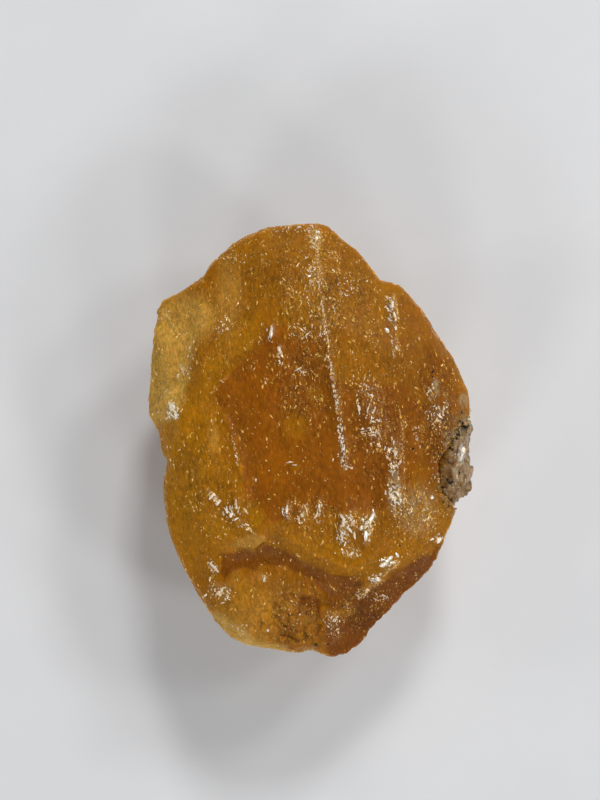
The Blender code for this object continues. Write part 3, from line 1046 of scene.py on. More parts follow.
    tufts: tuple[Tuft, ...] = rows(
        Tuft,
        (-4.0, 10.8, 1.4, 0.55, 2, 0.22), (-3.1, 9.1, 0.9, 0.5, 20, 0.14), (-2.4, -6.4, 1.5, 0.6, -8, 0.22),
        (-0.8, -6.6, 1.2, 0.7, 5, 0.18), (0.8, -6.3, 1.4, 0.6, -4, 0.18), (3.0, -8.1, 2.6, 0.9, -6, 0.28),
        (4.1, -7.4, 1.8, 0.8, 8, 0.22), (5.3, -8.5, 2.4, 0.8, 4, 0.3), (6.0, -7.1, 1.2, 0.5, 30, 0.19),
        (7.9, -11.7, 1.0, 1.8, -40, 0.25), (-13.7, 3.2, 1.6, 1.3, -15, 0.25),
        (8.0, 13.5, 1.5, 0.8, 5, 0.19), (-7.3, -1.4, 0.8, 0.5, -20, 0.14), (12.7, -9.7, 1.2, 0.8, 35, 0.19),
    )
    frosted: tuple[Patch, ...] = rows(
        Patch,
        (0.5, 16.2, 0.7, 1.5, 0.55), (0.2, 20.7, 0.7, 1.5, 0.8), (1.2, 11.4, 0.6, 0.9, 0.45),
        (3.0, -1.0, 0.4, 1.8, 0.6), (8.1, 12.7, 0.5, 1.6, 0.55), (5.7, 4.4, 1.3, 1.8, 0.25),
        (6.5, 1.6, 1.0, 1.5, 0.3), (8.2, -0.9, 0.6, 1.3, 0.7), (8.3, -5.2, 0.8, 1.9, 0.75),
        (10.5, -7.0, 2.0, 2.3, 0.35), (-2.4, -6.4, 0.4, 0.9, 0.6), (-0.8, -6.7, 0.5, 0.8, 0.5),
        (0.8, -6.3, 0.4, 1.0, 0.45), (3.1, -8.4, 0.5, 1.4, 0.7), (4.1, -7.6, 0.7, 1.2, 0.35),
        (5.3, -8.6, 0.45, 1.4, 0.9), (5.9, -7.0, 0.35, 0.7, 0.6), (3.8, -10.7, 0.9, 0.6, 0.4),
        (7.7, -11.9, 0.8, 0.6, 0.95), (6.3, -13.6, 0.6, 0.6, 0.7), (2.0, -18.0, 0.7, 1.3, 0.45),
        (-9.2, -14.7, 1.2, 0.9, 0.5), (-6.7, -18.8, 0.8, 0.8, 0.4), (-4.7, -13.3, 0.35, 0.3, 0.8),
        (-13.7, 3.1, 0.7, 0.9, 0.7), (-14.8, 12.7, 0.5, 0.7, 0.5), (-4.0, 10.9, 0.25, 0.7, 0.9),
        (-3.1, 9.1, 0.35, 0.4, 0.7), (12.7, -9.7, 0.5, 0.4, 0.6), (11.8, -5.4, 0.3, 0.3, 0.7),
    )
    etched: tuple[Patch, ...] = rows(
        Patch,
        (0.2, 14.4, 3.4, 7.0, 0.85, 0.4), (-3.2, 17.4, 4.2, 4.0, 0.45, 0.5),
        (3.8, 14.6, 2.6, 3.4, 0.6, 0.5), (4.6, 8.1, 4.5, 5.0, 0.45, 0.5), (-1.0, 6.5, 3.2, 5.0, 0.6, 0.5),
        (6.5, 1.5, 3.0, 5.0, 0.55, 0.5), (2.1, -7.8, 5.6, 2.4, 0.5, 0.5), (-9.6, 11.1, 4.0, 4.0, 0.4, 0.6),
        (12.2, 3.0, 2.4, 5.0, 0.6, 0.5), (10.0, -7.2, 3.0, 3.4, 0.6, 0.5), (-14.4, 7.6, 2.2, 5.8, 0.5, 0.5),
        (-9.5, -4.0, 3.4, 6.5, 0.35, 0.6), (-4.0, -17.0, 4.6, 3.6, 0.25, 0.5),
        (5.5, -16.5, 3.6, 3.2, 0.5, 0.5),
    )
    deep: tuple[Region, ...] = rows(
        Region,
        (((-10.0, 4.4), (-8.7, 6.0), (-7.9, 6.6), (-6.8, 7.9), (-5.7, 9.3), (-4.4, 11.2), (-2.5, 11.4),
         (-0.9, 10.8), (0.2, 11.6), (1.2, 10.5), (1.7, 8.4), (2.2, 5.9), (3.5, 5.4), (5.6, 6.2), (7.3, 5.6),
         (9.2, 6.0), (10.7, 3.0), (10.4, -2.1), (8.4, -6.2), (5.1, -6.6), (0.0, -6.5), (-4.0, -7.8),
         (-6.3, -5.4), (-6.8, -3.0), (-7.6, 0.1), (-8.4, 2.8)), 0.9, 0.2),
        (((-7.1, 7.0), (-4.5, 10.5), (-1.5, 7.0), (-1.6, 3.4), (-5.1, 1.6), (-7.7, 3.6)), 1.0, 0.9),
        (((3.7, 4.6), (8.2, 4.6), (9.6, 0.9), (9.0, -4.1), (5.1, -6.0), (0.0, -5.6), (-0.4, -2.9),
         (3.9, -3.0)), 1.0, 0.8),
        (((11.2, 9.1), (13.9, 8.1), (15.7, 0.9), (12.2, -3.1), (10.6, 0.9)), 0.6, 1.0),
    )
    # The first region, the bright band on the foot's ledge, is a painted glow of light coming through the
    # stone; the other zones are the stone's own golden tone.
    golden: tuple[Zone, ...] = rows(
        Region,
        (((-3.6, -8.9), (0.0, -8.8), (3.1, -9.8), (6.1, -11.1), (5.3, -12.6), (4.3, -12.9), (1.9, -12.5),
         (-0.1, -11.7), (-2.4, -10.3)), 0.45, 0.18),
        (((-11.6, 4.6), (-9.7, 5.6), (-6.1, 9.7), (-4.7, 12.5), (-7.1, 12.1), (-10.8, 7.5)), 0.7, 0.6),
    ) + rows(
        Patch,
        (3.7, 8.5, 2.2, 3.0, 0.25, 0.6), (9.6, 8.9, 1.6, 3.0, 0.45, 0.6), (-1.6, 1.8, 0.9, 1.6, 0.55, 0.6),
        (0.2, 4.8, 0.7, 0.7, 0.5, 0.6), (-8.9, -3.5, 0.5, 2.6, 0.45, 0.6),
        (-12.6, -2.6, 3.2, 8.4, 0.85, 0.6), (-8.6, -8.6, 2.6, 2.2, 0.85, 0.6),
        (-7.3, -3.1, 0.45, 2.6, 0.6, 0.6), (-5.7, -7.4, 0.9, 1.6, 0.7, 0.5),
        (-1.0, 12.7, 2.4, 2.0, 0.35, 0.6), (-4.5, -16.1, 1.1, 0.8, 0.9, 0.4),
        (-6.2, -16.6, 3.0, 3.0, 0.5, 0.5), (-0.6, -18.6, 0.9, 1.4, 0.6, 0.5),
    )
    pale: tuple[Zone, ...] = rows(
        Region,
        (((-12.1, 8.0), (-12.3, 5.8), (-12.8, 3.6), (-14.0, 2.0), (-17.3, 1.5), (-17.3, 12.1),
         (-12.8, 12.1), (-11.2, 10.7)), 0.75, 0.5),
        (((-9.4, -15.7), (-8.8, -13.8), (-7.4, -13.0), (-5.0, -12.8), (-2.5, -13.8), (-0.6, -15.2),
         (0.2, -17.9), (-0.4, -21.4), (-2.0, -23.0), (-8.1, -22.4), (-10.7, -18.4)), 0.12, 0.25),
        (((-10.7, -16.9), (-8.5, -17.0), (-5.3, -19.4), (-2.6, -20.3), (-2.0, -23.0), (-8.1, -22.4)), 0.62,
         0.5),
        (((-6.0, -9.0), (-4.7, -9.1), (-4.8, -9.8), (-5.9, -10.4), (-7.9, -10.1), (-7.4, -9.4)), 0.45, 0.2),
    ) + rows(
        Patch,
        (-12.8, 12.5, 3.4, 2.4, 0.62, 0.5), (-8.3, 14.6, 1.2, 3.6, 0.3, 0.7),
        (-9.7, 0.5, 0.5, 1.4, 0.3, 0.6),
    )
    # The regions, under the foot's ledge and on the steep lower-right face, are painted shadow, and so is the
    # patch just under the ledge at (-2.6, -13.4); the other patches are the stone's own deeper tone.
    dark: tuple[Zone, ...] = rows(
        Region,
        (((-8.5, -12.1), (-5.9, -10.7), (-4.6, -10.0), (-2.4, -10.8), (-0.1, -12.0), (1.9, -13.0),
         (4.7, -13.5), (5.3, -15.1), (4.3, -16.8), (1.9, -16.4), (1.2, -14.6), (0.2, -13.7), (-1.3, -12.8),
         (-3.0, -12.1), (-5.2, -12.0), (-6.3, -12.2), (-7.6, -12.9)), 0.8, 0.18),
        (((4.5, -15.3), (8.1, -12.9), (10.8, -11.5), (13.2, -10.0), (12.7, -13.3), (8.2, -19.4),
         (3.1, -22.4), (1.5, -21.4), (1.3, -17.4), (4.3, -17.2)), 0.98, 0.4),
        (((-9.1, -11.2), (-8.1, -10.8), (-6.8, -10.5), (-5.5, -10.8), (-5.4, -12.3), (-6.5, -12.3),
         (-7.5, -12.7), (-8.6, -13.3), (-8.9, -12.4)), 0.8, 0.12),
        (((-1.5, -15.1), (0.2, -15.0), (0.9, -15.4), (0.8, -16.6), (-0.4, -16.4), (-1.4, -15.9)), 0.85,
         0.12),
    ) + rows(
        Patch,
        (2.1, -3.7, 4.6, 0.9, 0.22, 0.7), (12.6, -0.7, 2.4, 4.4, 0.75, 0.6),
        (11.6, 8.6, 4.2, 8.0, 0.5, 0.6), (7.6, 1.0, 4.4, 7.6, 0.3, 0.7), (4.6, 9.6, 5.0, 6.0, 0.16, 0.7),
        (5.2, 17.6, 3.6, 3.6, 0.2, 0.7), (-3.9, -5.2, 2.2, 1.6, 0.12, 0.7),
        (-2.6, -13.4, 3.6, 1.5, 0.22, 0.6), (-1.2, -19.2, 2.4, 2.4, 0.4, 0.7),
        (-0.6, -16.6, 1.3, 1.5, 0.35, 0.6),
    )
    clear: tuple[Patch, ...] = rows(
        Patch,
        (12.2, 5.2, 0.6, 0.9, 0.9, 0.35), (12.6, 2.5, 1.1, 1.2, 0.5, 0.5), (13.6, 4.2, 0.5, 0.6, 0.5, 0.5),
        (15.2, 4.3, 0.5, 0.9, 0.7, 0.5), (10.4, -6.4, 1.5, 2.2, 0.5, 0.6),
        (8.0, -4.9, 0.85, 2.3, 0.65, 0.3), (13.7, -2.2, 0.95, 3.6, 0.8, 0.5),
    )
    worn: tuple[WornLine, ...] = rows(
        WornLine,
        (((-6.4, -8.6), (-4.4, -9.6), (-2.4, -10.6), (-0.1, -12.0), (1.9, -12.9), (4.8, -13.4)), 1.1),
        (((-8.6, -10.6), (-6.6, -11.0), (-4.8, -10.4)), 1.5),
        (((-10.4, -4.4), (-9.0, -6.0), (-7.0, -7.9), (-5.6, -9.0)), 1.1),
        (((-11.8, 9.6), (-12.0, 7.6), (-12.2, 5.2), (-12.9, 3.2), (-14.2, 1.8), (-15.4, 1.0)), 1.7),
        (((0.6, 14.2), (3.0, 13.0), (5.6, 11.6), (8.4, 9.6)), 1.7),
        (((6.6, -9.2), (8.2, -7.6), (9.0, -6.6)), 1.2),
    )

    def build(self) -> FineMesh:
        """Makes the fine surface with its relief and its marks.

        Returns:
            The fine mesh, ready to be finished.
        """
        fine = FineMesh("scheelite_surface", self.node, self.voxel, self.smoothing)
        self._wear(fine)
        places, normals = fine.places(), fine.normals()
        above = smooth_step(self.girdle - 2, self.girdle + 1, places[:, 2])
        upper = smooth_step(0.05, 0.45, normals[:, 2]) * above
        x, y = self._nudged(places, self.straying, self.strays)
        etch = np.maximum(strongest(self.etched, x, y) * upper, 0.35 * (1 - upper))
        height = self._rough_skin(places, etch)
        rim, chips = self._chipped_rim(places, normals)
        height -= rim * chips
        frost = 0.5 * rim * smooth_step(-0.1, 0.35, self.rim_frost.at(places))
        umber, gold = np.zeros(len(places)), np.zeros(len(places))
        crumble = 0.75 + 0.9 * self.crumble.at(places)
        broken = smooth_step(-0.5, 0.3, self.broken.at(places))
        for seam in self.seams:
            rise, white = seam.shape(x, y)
            height += upper * rise * crumble
            frost = np.maximum(frost, white * (0.35 + 0.65 * broken))
        for crack in self.cracks:
            rise, dark = crack.shape(x, y)
            height += upper * rise
            umber, gold = np.maximum(umber, dark), np.maximum(gold, -dark)
        for tuft in self.tufts:
            height += upper * tuft.shape(x, y)
        # The gaps between the shattered facets are darkened in the umber mark: painted shade.
        rise, dark = self._shatter(places)
        height += upper * rise
        umber = np.maximum(umber, upper * dark)
        frost = np.maximum(frost, strongest(self.frosted, x, y))
        height += 0.08 * upper * frost * self.grit.at(places)
        fine.move_to(fine.hold_in_box(places + normals * height[:, None]))
        self._mark(fine, upper, gold, umber)
        fine.keep(Mark.FROST, np.maximum(upper, rim) * frost)
        fine.keep(Mark.ETCH, etch)
        return fine

    def _wear(self, fine: FineMesh) -> None:
        """Softens the steps and ridges that the stone has worn smooth.

        Args:
            fine: the stone's fine mesh.
        """
        places = fine.places()
        mask = strongest(self.worn, places[:, 0], places[:, 1])
        mask *= smooth_step(self.girdle, self.girdle + 1.5, places[:, 2])
        fine.move_to(fine.relax(places, mask, self.wear_rounds))

    @staticmethod
    def _nudged(places: np.ndarray, way: float, ripples: tuple[Ripple, Ripple]) -> list[np.ndarray]:
        """The places' x and y nudged about, so that lines are not ruled straight."""
        return [places[:, axis] + way * ripple.at(places) for axis, ripple in enumerate(ripples)]

    def _chipped_rim(self, places: np.ndarray, normals: np.ndarray) -> tuple[np.ndarray, np.ndarray]:
        """The stone's edge all round, where small chips have broken away.

        Args:
            places: the vertices' places.
            normals: their normals.

        Returns:
            How much each vertex belongs to the edge, and how deep its chip goes in millimetres.
        """
        edge = smooth_step(self.girdle - 4, self.girdle - 1, places[:, 2])
        edge *= 1 - smooth_step(0.35, 0.75, normals[:, 2])
        chips = smooth_step(-0.1, 0.4, self.rim_chips.at(places))
        return edge, 0.16 * chips + 0.05 * self.rim_grit.at(places)

    def _rough_skin(self, places: np.ndarray, etch: np.ndarray) -> np.ndarray:
        """The fine unevenness that the whole skin has, in millimetres.

        Args:
            places: the vertices' places.
            etch: how etched each vertex is.

        Returns:
            The height to add at each vertex.
        """
        waves = 0.05 * self.long_waves.at(places) + 0.02 * self.short_waves.at(places)
        streaks = np.abs(self.streaks.at(places))
        pits = smooth_step(0.22, 0.5, self.pits.at(places))
        resting = smooth_step(0.0, 0.6, places[:, 2])
        return resting * (waves - (0.008 + 0.03 * etch) * streaks - (0.01 + 0.05 * etch) * pits)

    def _shatter(self, places: np.ndarray) -> tuple[np.ndarray, np.ndarray]:
        """Small tilted facets in the struck patch at the stone's foot.

        Args:
            places: the vertices' places.

        Returns:
            The height to add at each vertex, and the painted shade for the gap beside it.
        """
        reach = self.shattered.shape(places[:, 0], places[:, 1]) * (places[:, 2] > self.girdle)
        height, gap = self.shards.shape(places, reach)
        return self.shard_tilt * height - 0.1 * gap, 0.7 * gap

    def _mark(self, fine: FineMesh, upper: np.ndarray, gold: np.ndarray, umber: np.ndarray) -> None:
        """Keeps the colour marks on the mesh.

        Args:
            fine: the mesh.
            upper: 1 on the broad face and 0 underneath.
            gold: how golden the cracks make each vertex.
            umber: how dark the cracks make it, with the painted shade in the shattered facets' gaps.
        """
        places = fine.places()
        drift = self.drift.at(places)
        x, y = self._nudged(places, self.smearing, self.smears)
        sunk = places[:, 2] + 1.5 * self.sinking.at(places)
        over = smooth_step(-0.55, 0.35, fine.normals()[:, 2])
        over *= smooth_step(self.girdle - 5, self.girdle + 0.5, sunk)
        under = 1 - over
        fine.keep(Mark.AMBER, over * strongest(self.deep, x, y) + under * (0.35 + 0.5 * drift))
        # The golden mark carries the painted glow on the ledge as well as golden tone.
        golden = np.maximum(upper * gold, over * strongest(self.golden, x, y))
        fine.keep(Mark.GOLD_AND_GLOW, golden + under * (0.2 - drift))
        straw = under * smooth_step(0.1, 0.6, drift) * 0.5
        fine.keep(Mark.STRAW, over * strongest(self.pale, x, y) + straw)
        # The umber mark holds the dark cracks, the painted shade in the shattered facets' gaps and the dark
        # zones, part of which are painted shadow.
        fine.keep(Mark.UMBER_AND_SHADE, np.maximum(upper * umber, over * strongest(self.dark, x, y)))
        away = (places - np.array(self.quartz_middle)) / np.array(self.quartz_reach)
        away = np.linalg.norm(away, axis=1) + 0.22 * self.quartz_halo.at(places)
        beside = 1 - smooth_step(0.98, 1.3, away)
        fine.keep(Mark.GREY, np.maximum(upper * strongest(self.clear, x, y), 0.8 * beside))


@dataclass
class QuartzEdge:
    """The quartz mass in its socket on the right edge."""

    node: str = "quartz_edge"
    voxel: float = 0.00012
    smoothing: int = 2
    gap: float = 0.42
    left_open: float = 0.03
    dent: float = 0.3
    tilt: float = 0.75
    large_lumps: Ripple = Ripple((1.1, 1.5, 1.1), 61)
    small_lumps: Ripple = Ripple((0.4, 0.6, 0.4), 62)
    dents: Ripple = Ripple((1.6, 2.0, 1.8), 63)
    facets: Facets = Facets((1.1, 1.4, 1.2))
    # Where the quartz's colour gets a painted glint; it is kept in the frost mark.
    glint: Patch = Patch(14.9, -1.1, 0.42, 0.95, 1.0, 0.45)
    glint_above: float = 8.0

    def build(self, stone: FineMesh) -> FineMesh:
        """Makes the fine surface and grows it until it nearly meets the stone.

        Args:
            stone: the stone's fine mesh.

        Returns:
            The fine mesh, ready to be finished.
        """
        fine = FineMesh("quartz_surface", self.node, self.voxel, self.smoothing)
        places, normals = fine.places(), fine.normals()
        lumps = 0.16 * self.large_lumps.at(places) + 0.10 * self.small_lumps.at(places)
        height, gaps = self.facets.shape(places, np.ones(len(places)))
        lumps += self.tilt * height - 0.1 * gaps
        dents = smooth_step(-0.2, 0.5, self.dents.at(places))
        lumps -= self.dent * dents * smooth_step(0.0, 0.4, normals[:, 0])
        places += normals * lumps[:, None]
        tree = stone.tree(stone.places())
        for index, place in enumerate(places):
            near, _, _, away = tree.find_nearest(Vector(place))
            if self.left_open < away < self.gap:
                places[index] = place + (np.array(near) - place) * ((away - self.left_open) / away)
        # The frost mark on the quartz holds the painted glint.
        glint = self.glint.shape(places[:, 0], places[:, 1])
        fine.keep(Mark.FROST, glint * (places[:, 2] > self.glint_above))
        fine.move_to(fine.hold_in_box(places))
        return fine


# The small things that sit on them


class Meeting(NamedTuple):
    """Where a ray meets the stone or the quartz: the place, its normal and the other of the two."""

    place: Vector
    normal: Vector
    other: BVHTree


class Ground:
    """The stone and the quartz, as the ground that small things are set on."""

    HEIGHT = 50 * MM

    def __init__(self, stone: FineMesh, quartz: FineMesh) -> None:
        """Keeps the two surfaces."""
        self.surfaces = (stone.tree(), quartz.tree())

    def meet(self, start: Vector, way: Vector) -> Meeting | None:
        """Follows a ray to the first of the two surfaces.

        Args:
            start: where the ray starts, in metres.
            way: which way it goes.

        Returns:
            Where it meets the surface, or None if it misses both.
        """
        found = []
        for surface, other in (self.surfaces, self.surfaces[::-1]):
            place, normal, _, away = surface.ray_cast(start, way)
            if place is not None:
                found.append((away, Meeting(place, normal, other)))
        return min(found, key=lambda hit: hit[0])[1] if found else None

    def under(self, x: float, y: float) -> Meeting | None:
        """The topmost place under a spot given in millimetres."""
        return self.meet(Vector((x * MM, y * MM, self.HEIGHT)), -UP)


class GrowthTree:
    """A Geometry Nodes tree, its named inputs and the plain mesh it makes."""

    SOCKETS = {
        tuple: "NodeSocketVector",
        float: "NodeSocketFloat",
        int: "NodeSocketInt",
        bpy.types.Material: "NodeSocketMaterial",
    }

    def __init__(self, name: str, inputs: dict[str, object]) -> None:
        """Starts a tree.

        Args:
            name: the tree's name.
            inputs: the value of each named input, whose type gives the socket's.
        """
        self.tree = bpy.data.node_groups.new(name, "GeometryNodeTree")
        interface = self.tree.interface
        interface.new_socket("Geometry", in_out="INPUT", socket_type="NodeSocketGeometry")
        self.values: dict[str, object] = {}
        for label, value in inputs.items():
            socket = interface.new_socket(label, in_out="INPUT", socket_type=self.SOCKETS[type(value)])
            self.values[socket.identifier] = value
        interface.new_socket("Geometry", in_out="OUTPUT", socket_type="NodeSocketGeometry")
        self.graph = Graph(self.tree)
        self.given = self.graph.add("NodeGroupInput").outputs

    def attribute(self, name: str, kind: str = "FLOAT") -> Socket:
        """One of the source mesh's attributes."""
        return self.graph.add("GeometryNodeInputNamedAttribute", {"Name": name}, data_type=kind).outputs[0]

    def chance(self, low: float | Triple, high: float | Triple, shift: float = 0.0) -> Socket:
        """A random number, or three, for each instance.

        Args:
            low: the least it can be.
            high: the most it can be.
            shift: what is added to the seed to set this draw apart from the others.

        Returns:
            The output that gives it.
        """
        seed = self.graph.plus(self.given["Seed"], shift) if shift else self.given["Seed"]
        kind, first, output = ("FLOAT_VECTOR", 0, 0) if isinstance(low, tuple) else ("FLOAT", 2, 1)
        plugs = {first: low, first + 1: high, "Seed": seed}
        return self.graph.add("FunctionNodeRandomValue", plugs, data_type=kind).outputs[output]

    def noise(self, scale: float) -> bpy.types.Node:
        """Smooth noise over the geometry."""
        return self.graph.add("ShaderNodeTexNoise", {"Scale": scale, "Detail": 2.0}, noise_dimensions="3D")

    def ragged(self, geometry: Socket, scale: float, reach: Plug) -> Socket:
        """Pushes the corners of geometry about.

        Args:
            geometry: what is made ragged.
            scale: the noise's scale.
            reach: how far a corner may go.

        Returns:
            The ragged geometry.
        """
        real = self.graph.add("GeometryNodeRealizeInstances", {"Geometry": geometry}).outputs[0]
        push = self.graph.vector("SUBTRACT", self.noise(scale).outputs["Color"], (0.5, 0.5, 0.5))
        plugs = {"Geometry": real, "Offset": self.graph.scaled(push, reach)}
        return self.graph.add("GeometryNodeSetPosition", plugs).outputs[0]

    def placed(self, points: Socket, instance: Socket, rotation: Socket, scale: Socket) -> Socket:
        """Puts one shape at each point.

        Args:
            points: the points.
            instance: the shape.
            rotation: how each one is turned.
            scale: how large each one is.

        Returns:
            The instances.
        """
        plugs = {"Points": points, "Instance": instance, "Rotation": rotation, "Scale": scale}
        return self.graph.add("GeometryNodeInstanceOnPoints", plugs).outputs[0]

    def grow(self, name: str, geometry: Socket, source: bpy.types.Mesh) -> bpy.types.Object:
        """Ends the tree in real, dressed geometry and runs it on a mesh.

        Args:
            name: the new piece's name.
            geometry: what the tree has made.
            source: the mesh that things grow on.

        Returns:
            A piece with a plain mesh, inside the whole stone's box.
        """
        real = self.graph.add("GeometryNodeRealizeInstances", {"Geometry": geometry}).outputs[0]
        plugs = {"Geometry": real, "Material": self.given["Material"]}
        self.graph.add("NodeGroupOutput", {0: self.graph.add("GeometryNodeSetMaterial", plugs).outputs[0]})
        host = bpy.data.objects.new(name, source)
        bpy.context.scene.collection.objects.link(host)
        modifier = host.modifiers.new("Growth", "NODES")
        modifier.node_group = self.tree
        for identifier, value in self.values.items():
            modifier[identifier] = value
        evaluated = host.evaluated_get(bpy.context.evaluated_depsgraph_get())
        mesh = bpy.data.meshes.new_from_object(evaluated)
        bpy.data.objects.remove(host)
        flat = np.zeros(len(mesh.vertices) * 3, dtype=np.float32)
        mesh.vertices.foreach_get("co", flat)
        places = np.clip(flat.reshape(-1, 3), *(np.array(corner) for corner in CAD_BOX))
        mesh.vertices.foreach_set("co", places.astype(np.float32).ravel())
        mesh.update()
        piece = bpy.data.objects.new(name, mesh)
        bpy.context.scene.collection.objects.link(piece)
        return piece


@dataclass
class SeamCrumbs:
    """Cleavage crumbs on the rubbed seams and the small bright edges of etch pits everywhere.

    The sizes are in metres and the densities in crumbs per square metre.
    """

    width: float = 0.00006
    length: float = 0.0001
    density: float = 4.0e7
    stray_density: float = 1.7e7
    least_density: float = 2.2e6
    contrast: float = 1.5
    clump_scale: float = 900.0
    turn: float = 0.9
    tip: float = 0.7
    least: Triple = (0.5, 0.5, 0.5)
    most: Triple = (1.1, 2.0, 1.1)
    seed: int = 7

    def build(self, stone: FineMesh, material: bpy.types.Material) -> bpy.types.Object:
        """Scatters the crumbs over the stone, thickest where it is frosted.

        Args:
            stone: the stone's fine mesh.
            material: what the crumbs are made of.

        Returns:
            One piece with all of them.
        """
        inputs = {
            "Crumb Size": (self.width, self.length, self.width),
            "Density": self.density,
            "Stray Density": self.stray_density,
            "Least Density": self.least_density,
            "Slant": math.radians(GRAIN_OF_STONE),
            "Seed": self.seed,
            "Material": material,
        }
        growth = GrowthTree("crumbs on seams", inputs)
        graph, given = growth.graph, growth.given
        frost = graph.math("POWER", growth.attribute(Mark.FROST.value), self.contrast)
        etch = graph.math("POWER", growth.attribute(Mark.ETCH.value), self.contrast)
        clumped = graph.spread(growth.noise(self.clump_scale).outputs[0], 0.44, 0.66, 0.3, 2.4)
        stray = graph.plus(graph.times(etch, given["Stray Density"]), given["Least Density"])
        density = graph.plus(graph.times(frost, given["Density"]), graph.times(stray, clumped))
        scatter = graph.add(
            "GeometryNodeDistributePointsOnFaces",
            {"Mesh": given["Geometry"], "Density": density, "Seed": given["Seed"]},
            distribute_method="RANDOM",
        ).outputs
        crumb = graph.add("GeometryNodeMeshUVSphere", {"Segments": 4, "Rings": 2, "Radius": 1.0})
        upright = graph.add("FunctionNodeAlignRotationToVector", {"Vector": scatter["Normal"]}, axis="Z")
        slant = {0: graph.math("SINE", given["Slant"], 0.0), 1: graph.math("COSINE", given["Slant"], 0.0)}
        lined = graph.add(
            "FunctionNodeAlignRotationToVector",
            {"Rotation": upright.outputs[0], "Vector": graph.add("ShaderNodeCombineXYZ", slant).outputs[0]},
            axis="Y",
            pivot_axis="Z",
        )
        turn, tip = growth.chance(-self.turn, self.turn), growth.chance(-self.tip, self.tip, 2.0)
        turns = graph.add("ShaderNodeCombineXYZ", {0: tip, 1: turn, 2: turn}).outputs[0]
        turned = graph.add(
            "FunctionNodeRotateRotation",
            {"Rotation": lined.outputs[0], "Rotate By": turns},
            rotation_space="LOCAL",
        )
        growing = graph.spread(graph.math("POWER", growth.chance(0.0, 1.0, 3.0), 6.0), 0.0, 1.0, 0.55, 2.1)
        size = graph.stretched(growth.chance(self.least, self.most, 1.0), given["Crumb Size"])
        crumbs = growth.placed(
            scatter["Points"], crumb.outputs["Mesh"], turned.outputs[0], graph.scaled(size, growing)
        )
        piece = growth.grow("seam_crumbs", crumbs, stone.mesh)
        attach(piece, BODY)
        return piece


@dataclass(frozen=True)
class Flake:
    """One bright flake: its place, length and width in millimetres, and its lean to the right."""

    x: float
    y: float
    length: float
    width: float
    lean: float


@dataclass(frozen=True)
class Cluster:
    """A crowd of small flakes: its middle and reach, how many, the longest and their lean."""

    x: float
    y: float
    across: float
    along: float
    number: int
    longest: float = 0.5
    lean: float = -9.0
    spread: float = 55.0
    slope: float = 0.155
    least_width: float = 0.09

    def flakes(self, draw: np.random.Generator) -> list[Flake]:
        """Draws the cluster's flakes, closest together in its middle.

        Args:
            draw: where the random numbers come from.

        Returns:
            The flakes.
        """
        drawn = []
        for _ in range(self.number):
            angle, away = draw.uniform(0, 2 * math.pi), draw.random() ** 0.7
            up = math.sin(angle) * away * self.along
            x = self.x + math.cos(angle) * away * self.across - self.slope * up
            length = self.longest * (0.22 + 0.78 * draw.random() ** 2)
            lean = self.lean + self.spread * draw.uniform(-1, 1)
            width = max(self.least_width, length * draw.uniform(0.16, 0.42))
            drawn.append(Flake(x, self.y + up, length, width, lean))
        return drawn


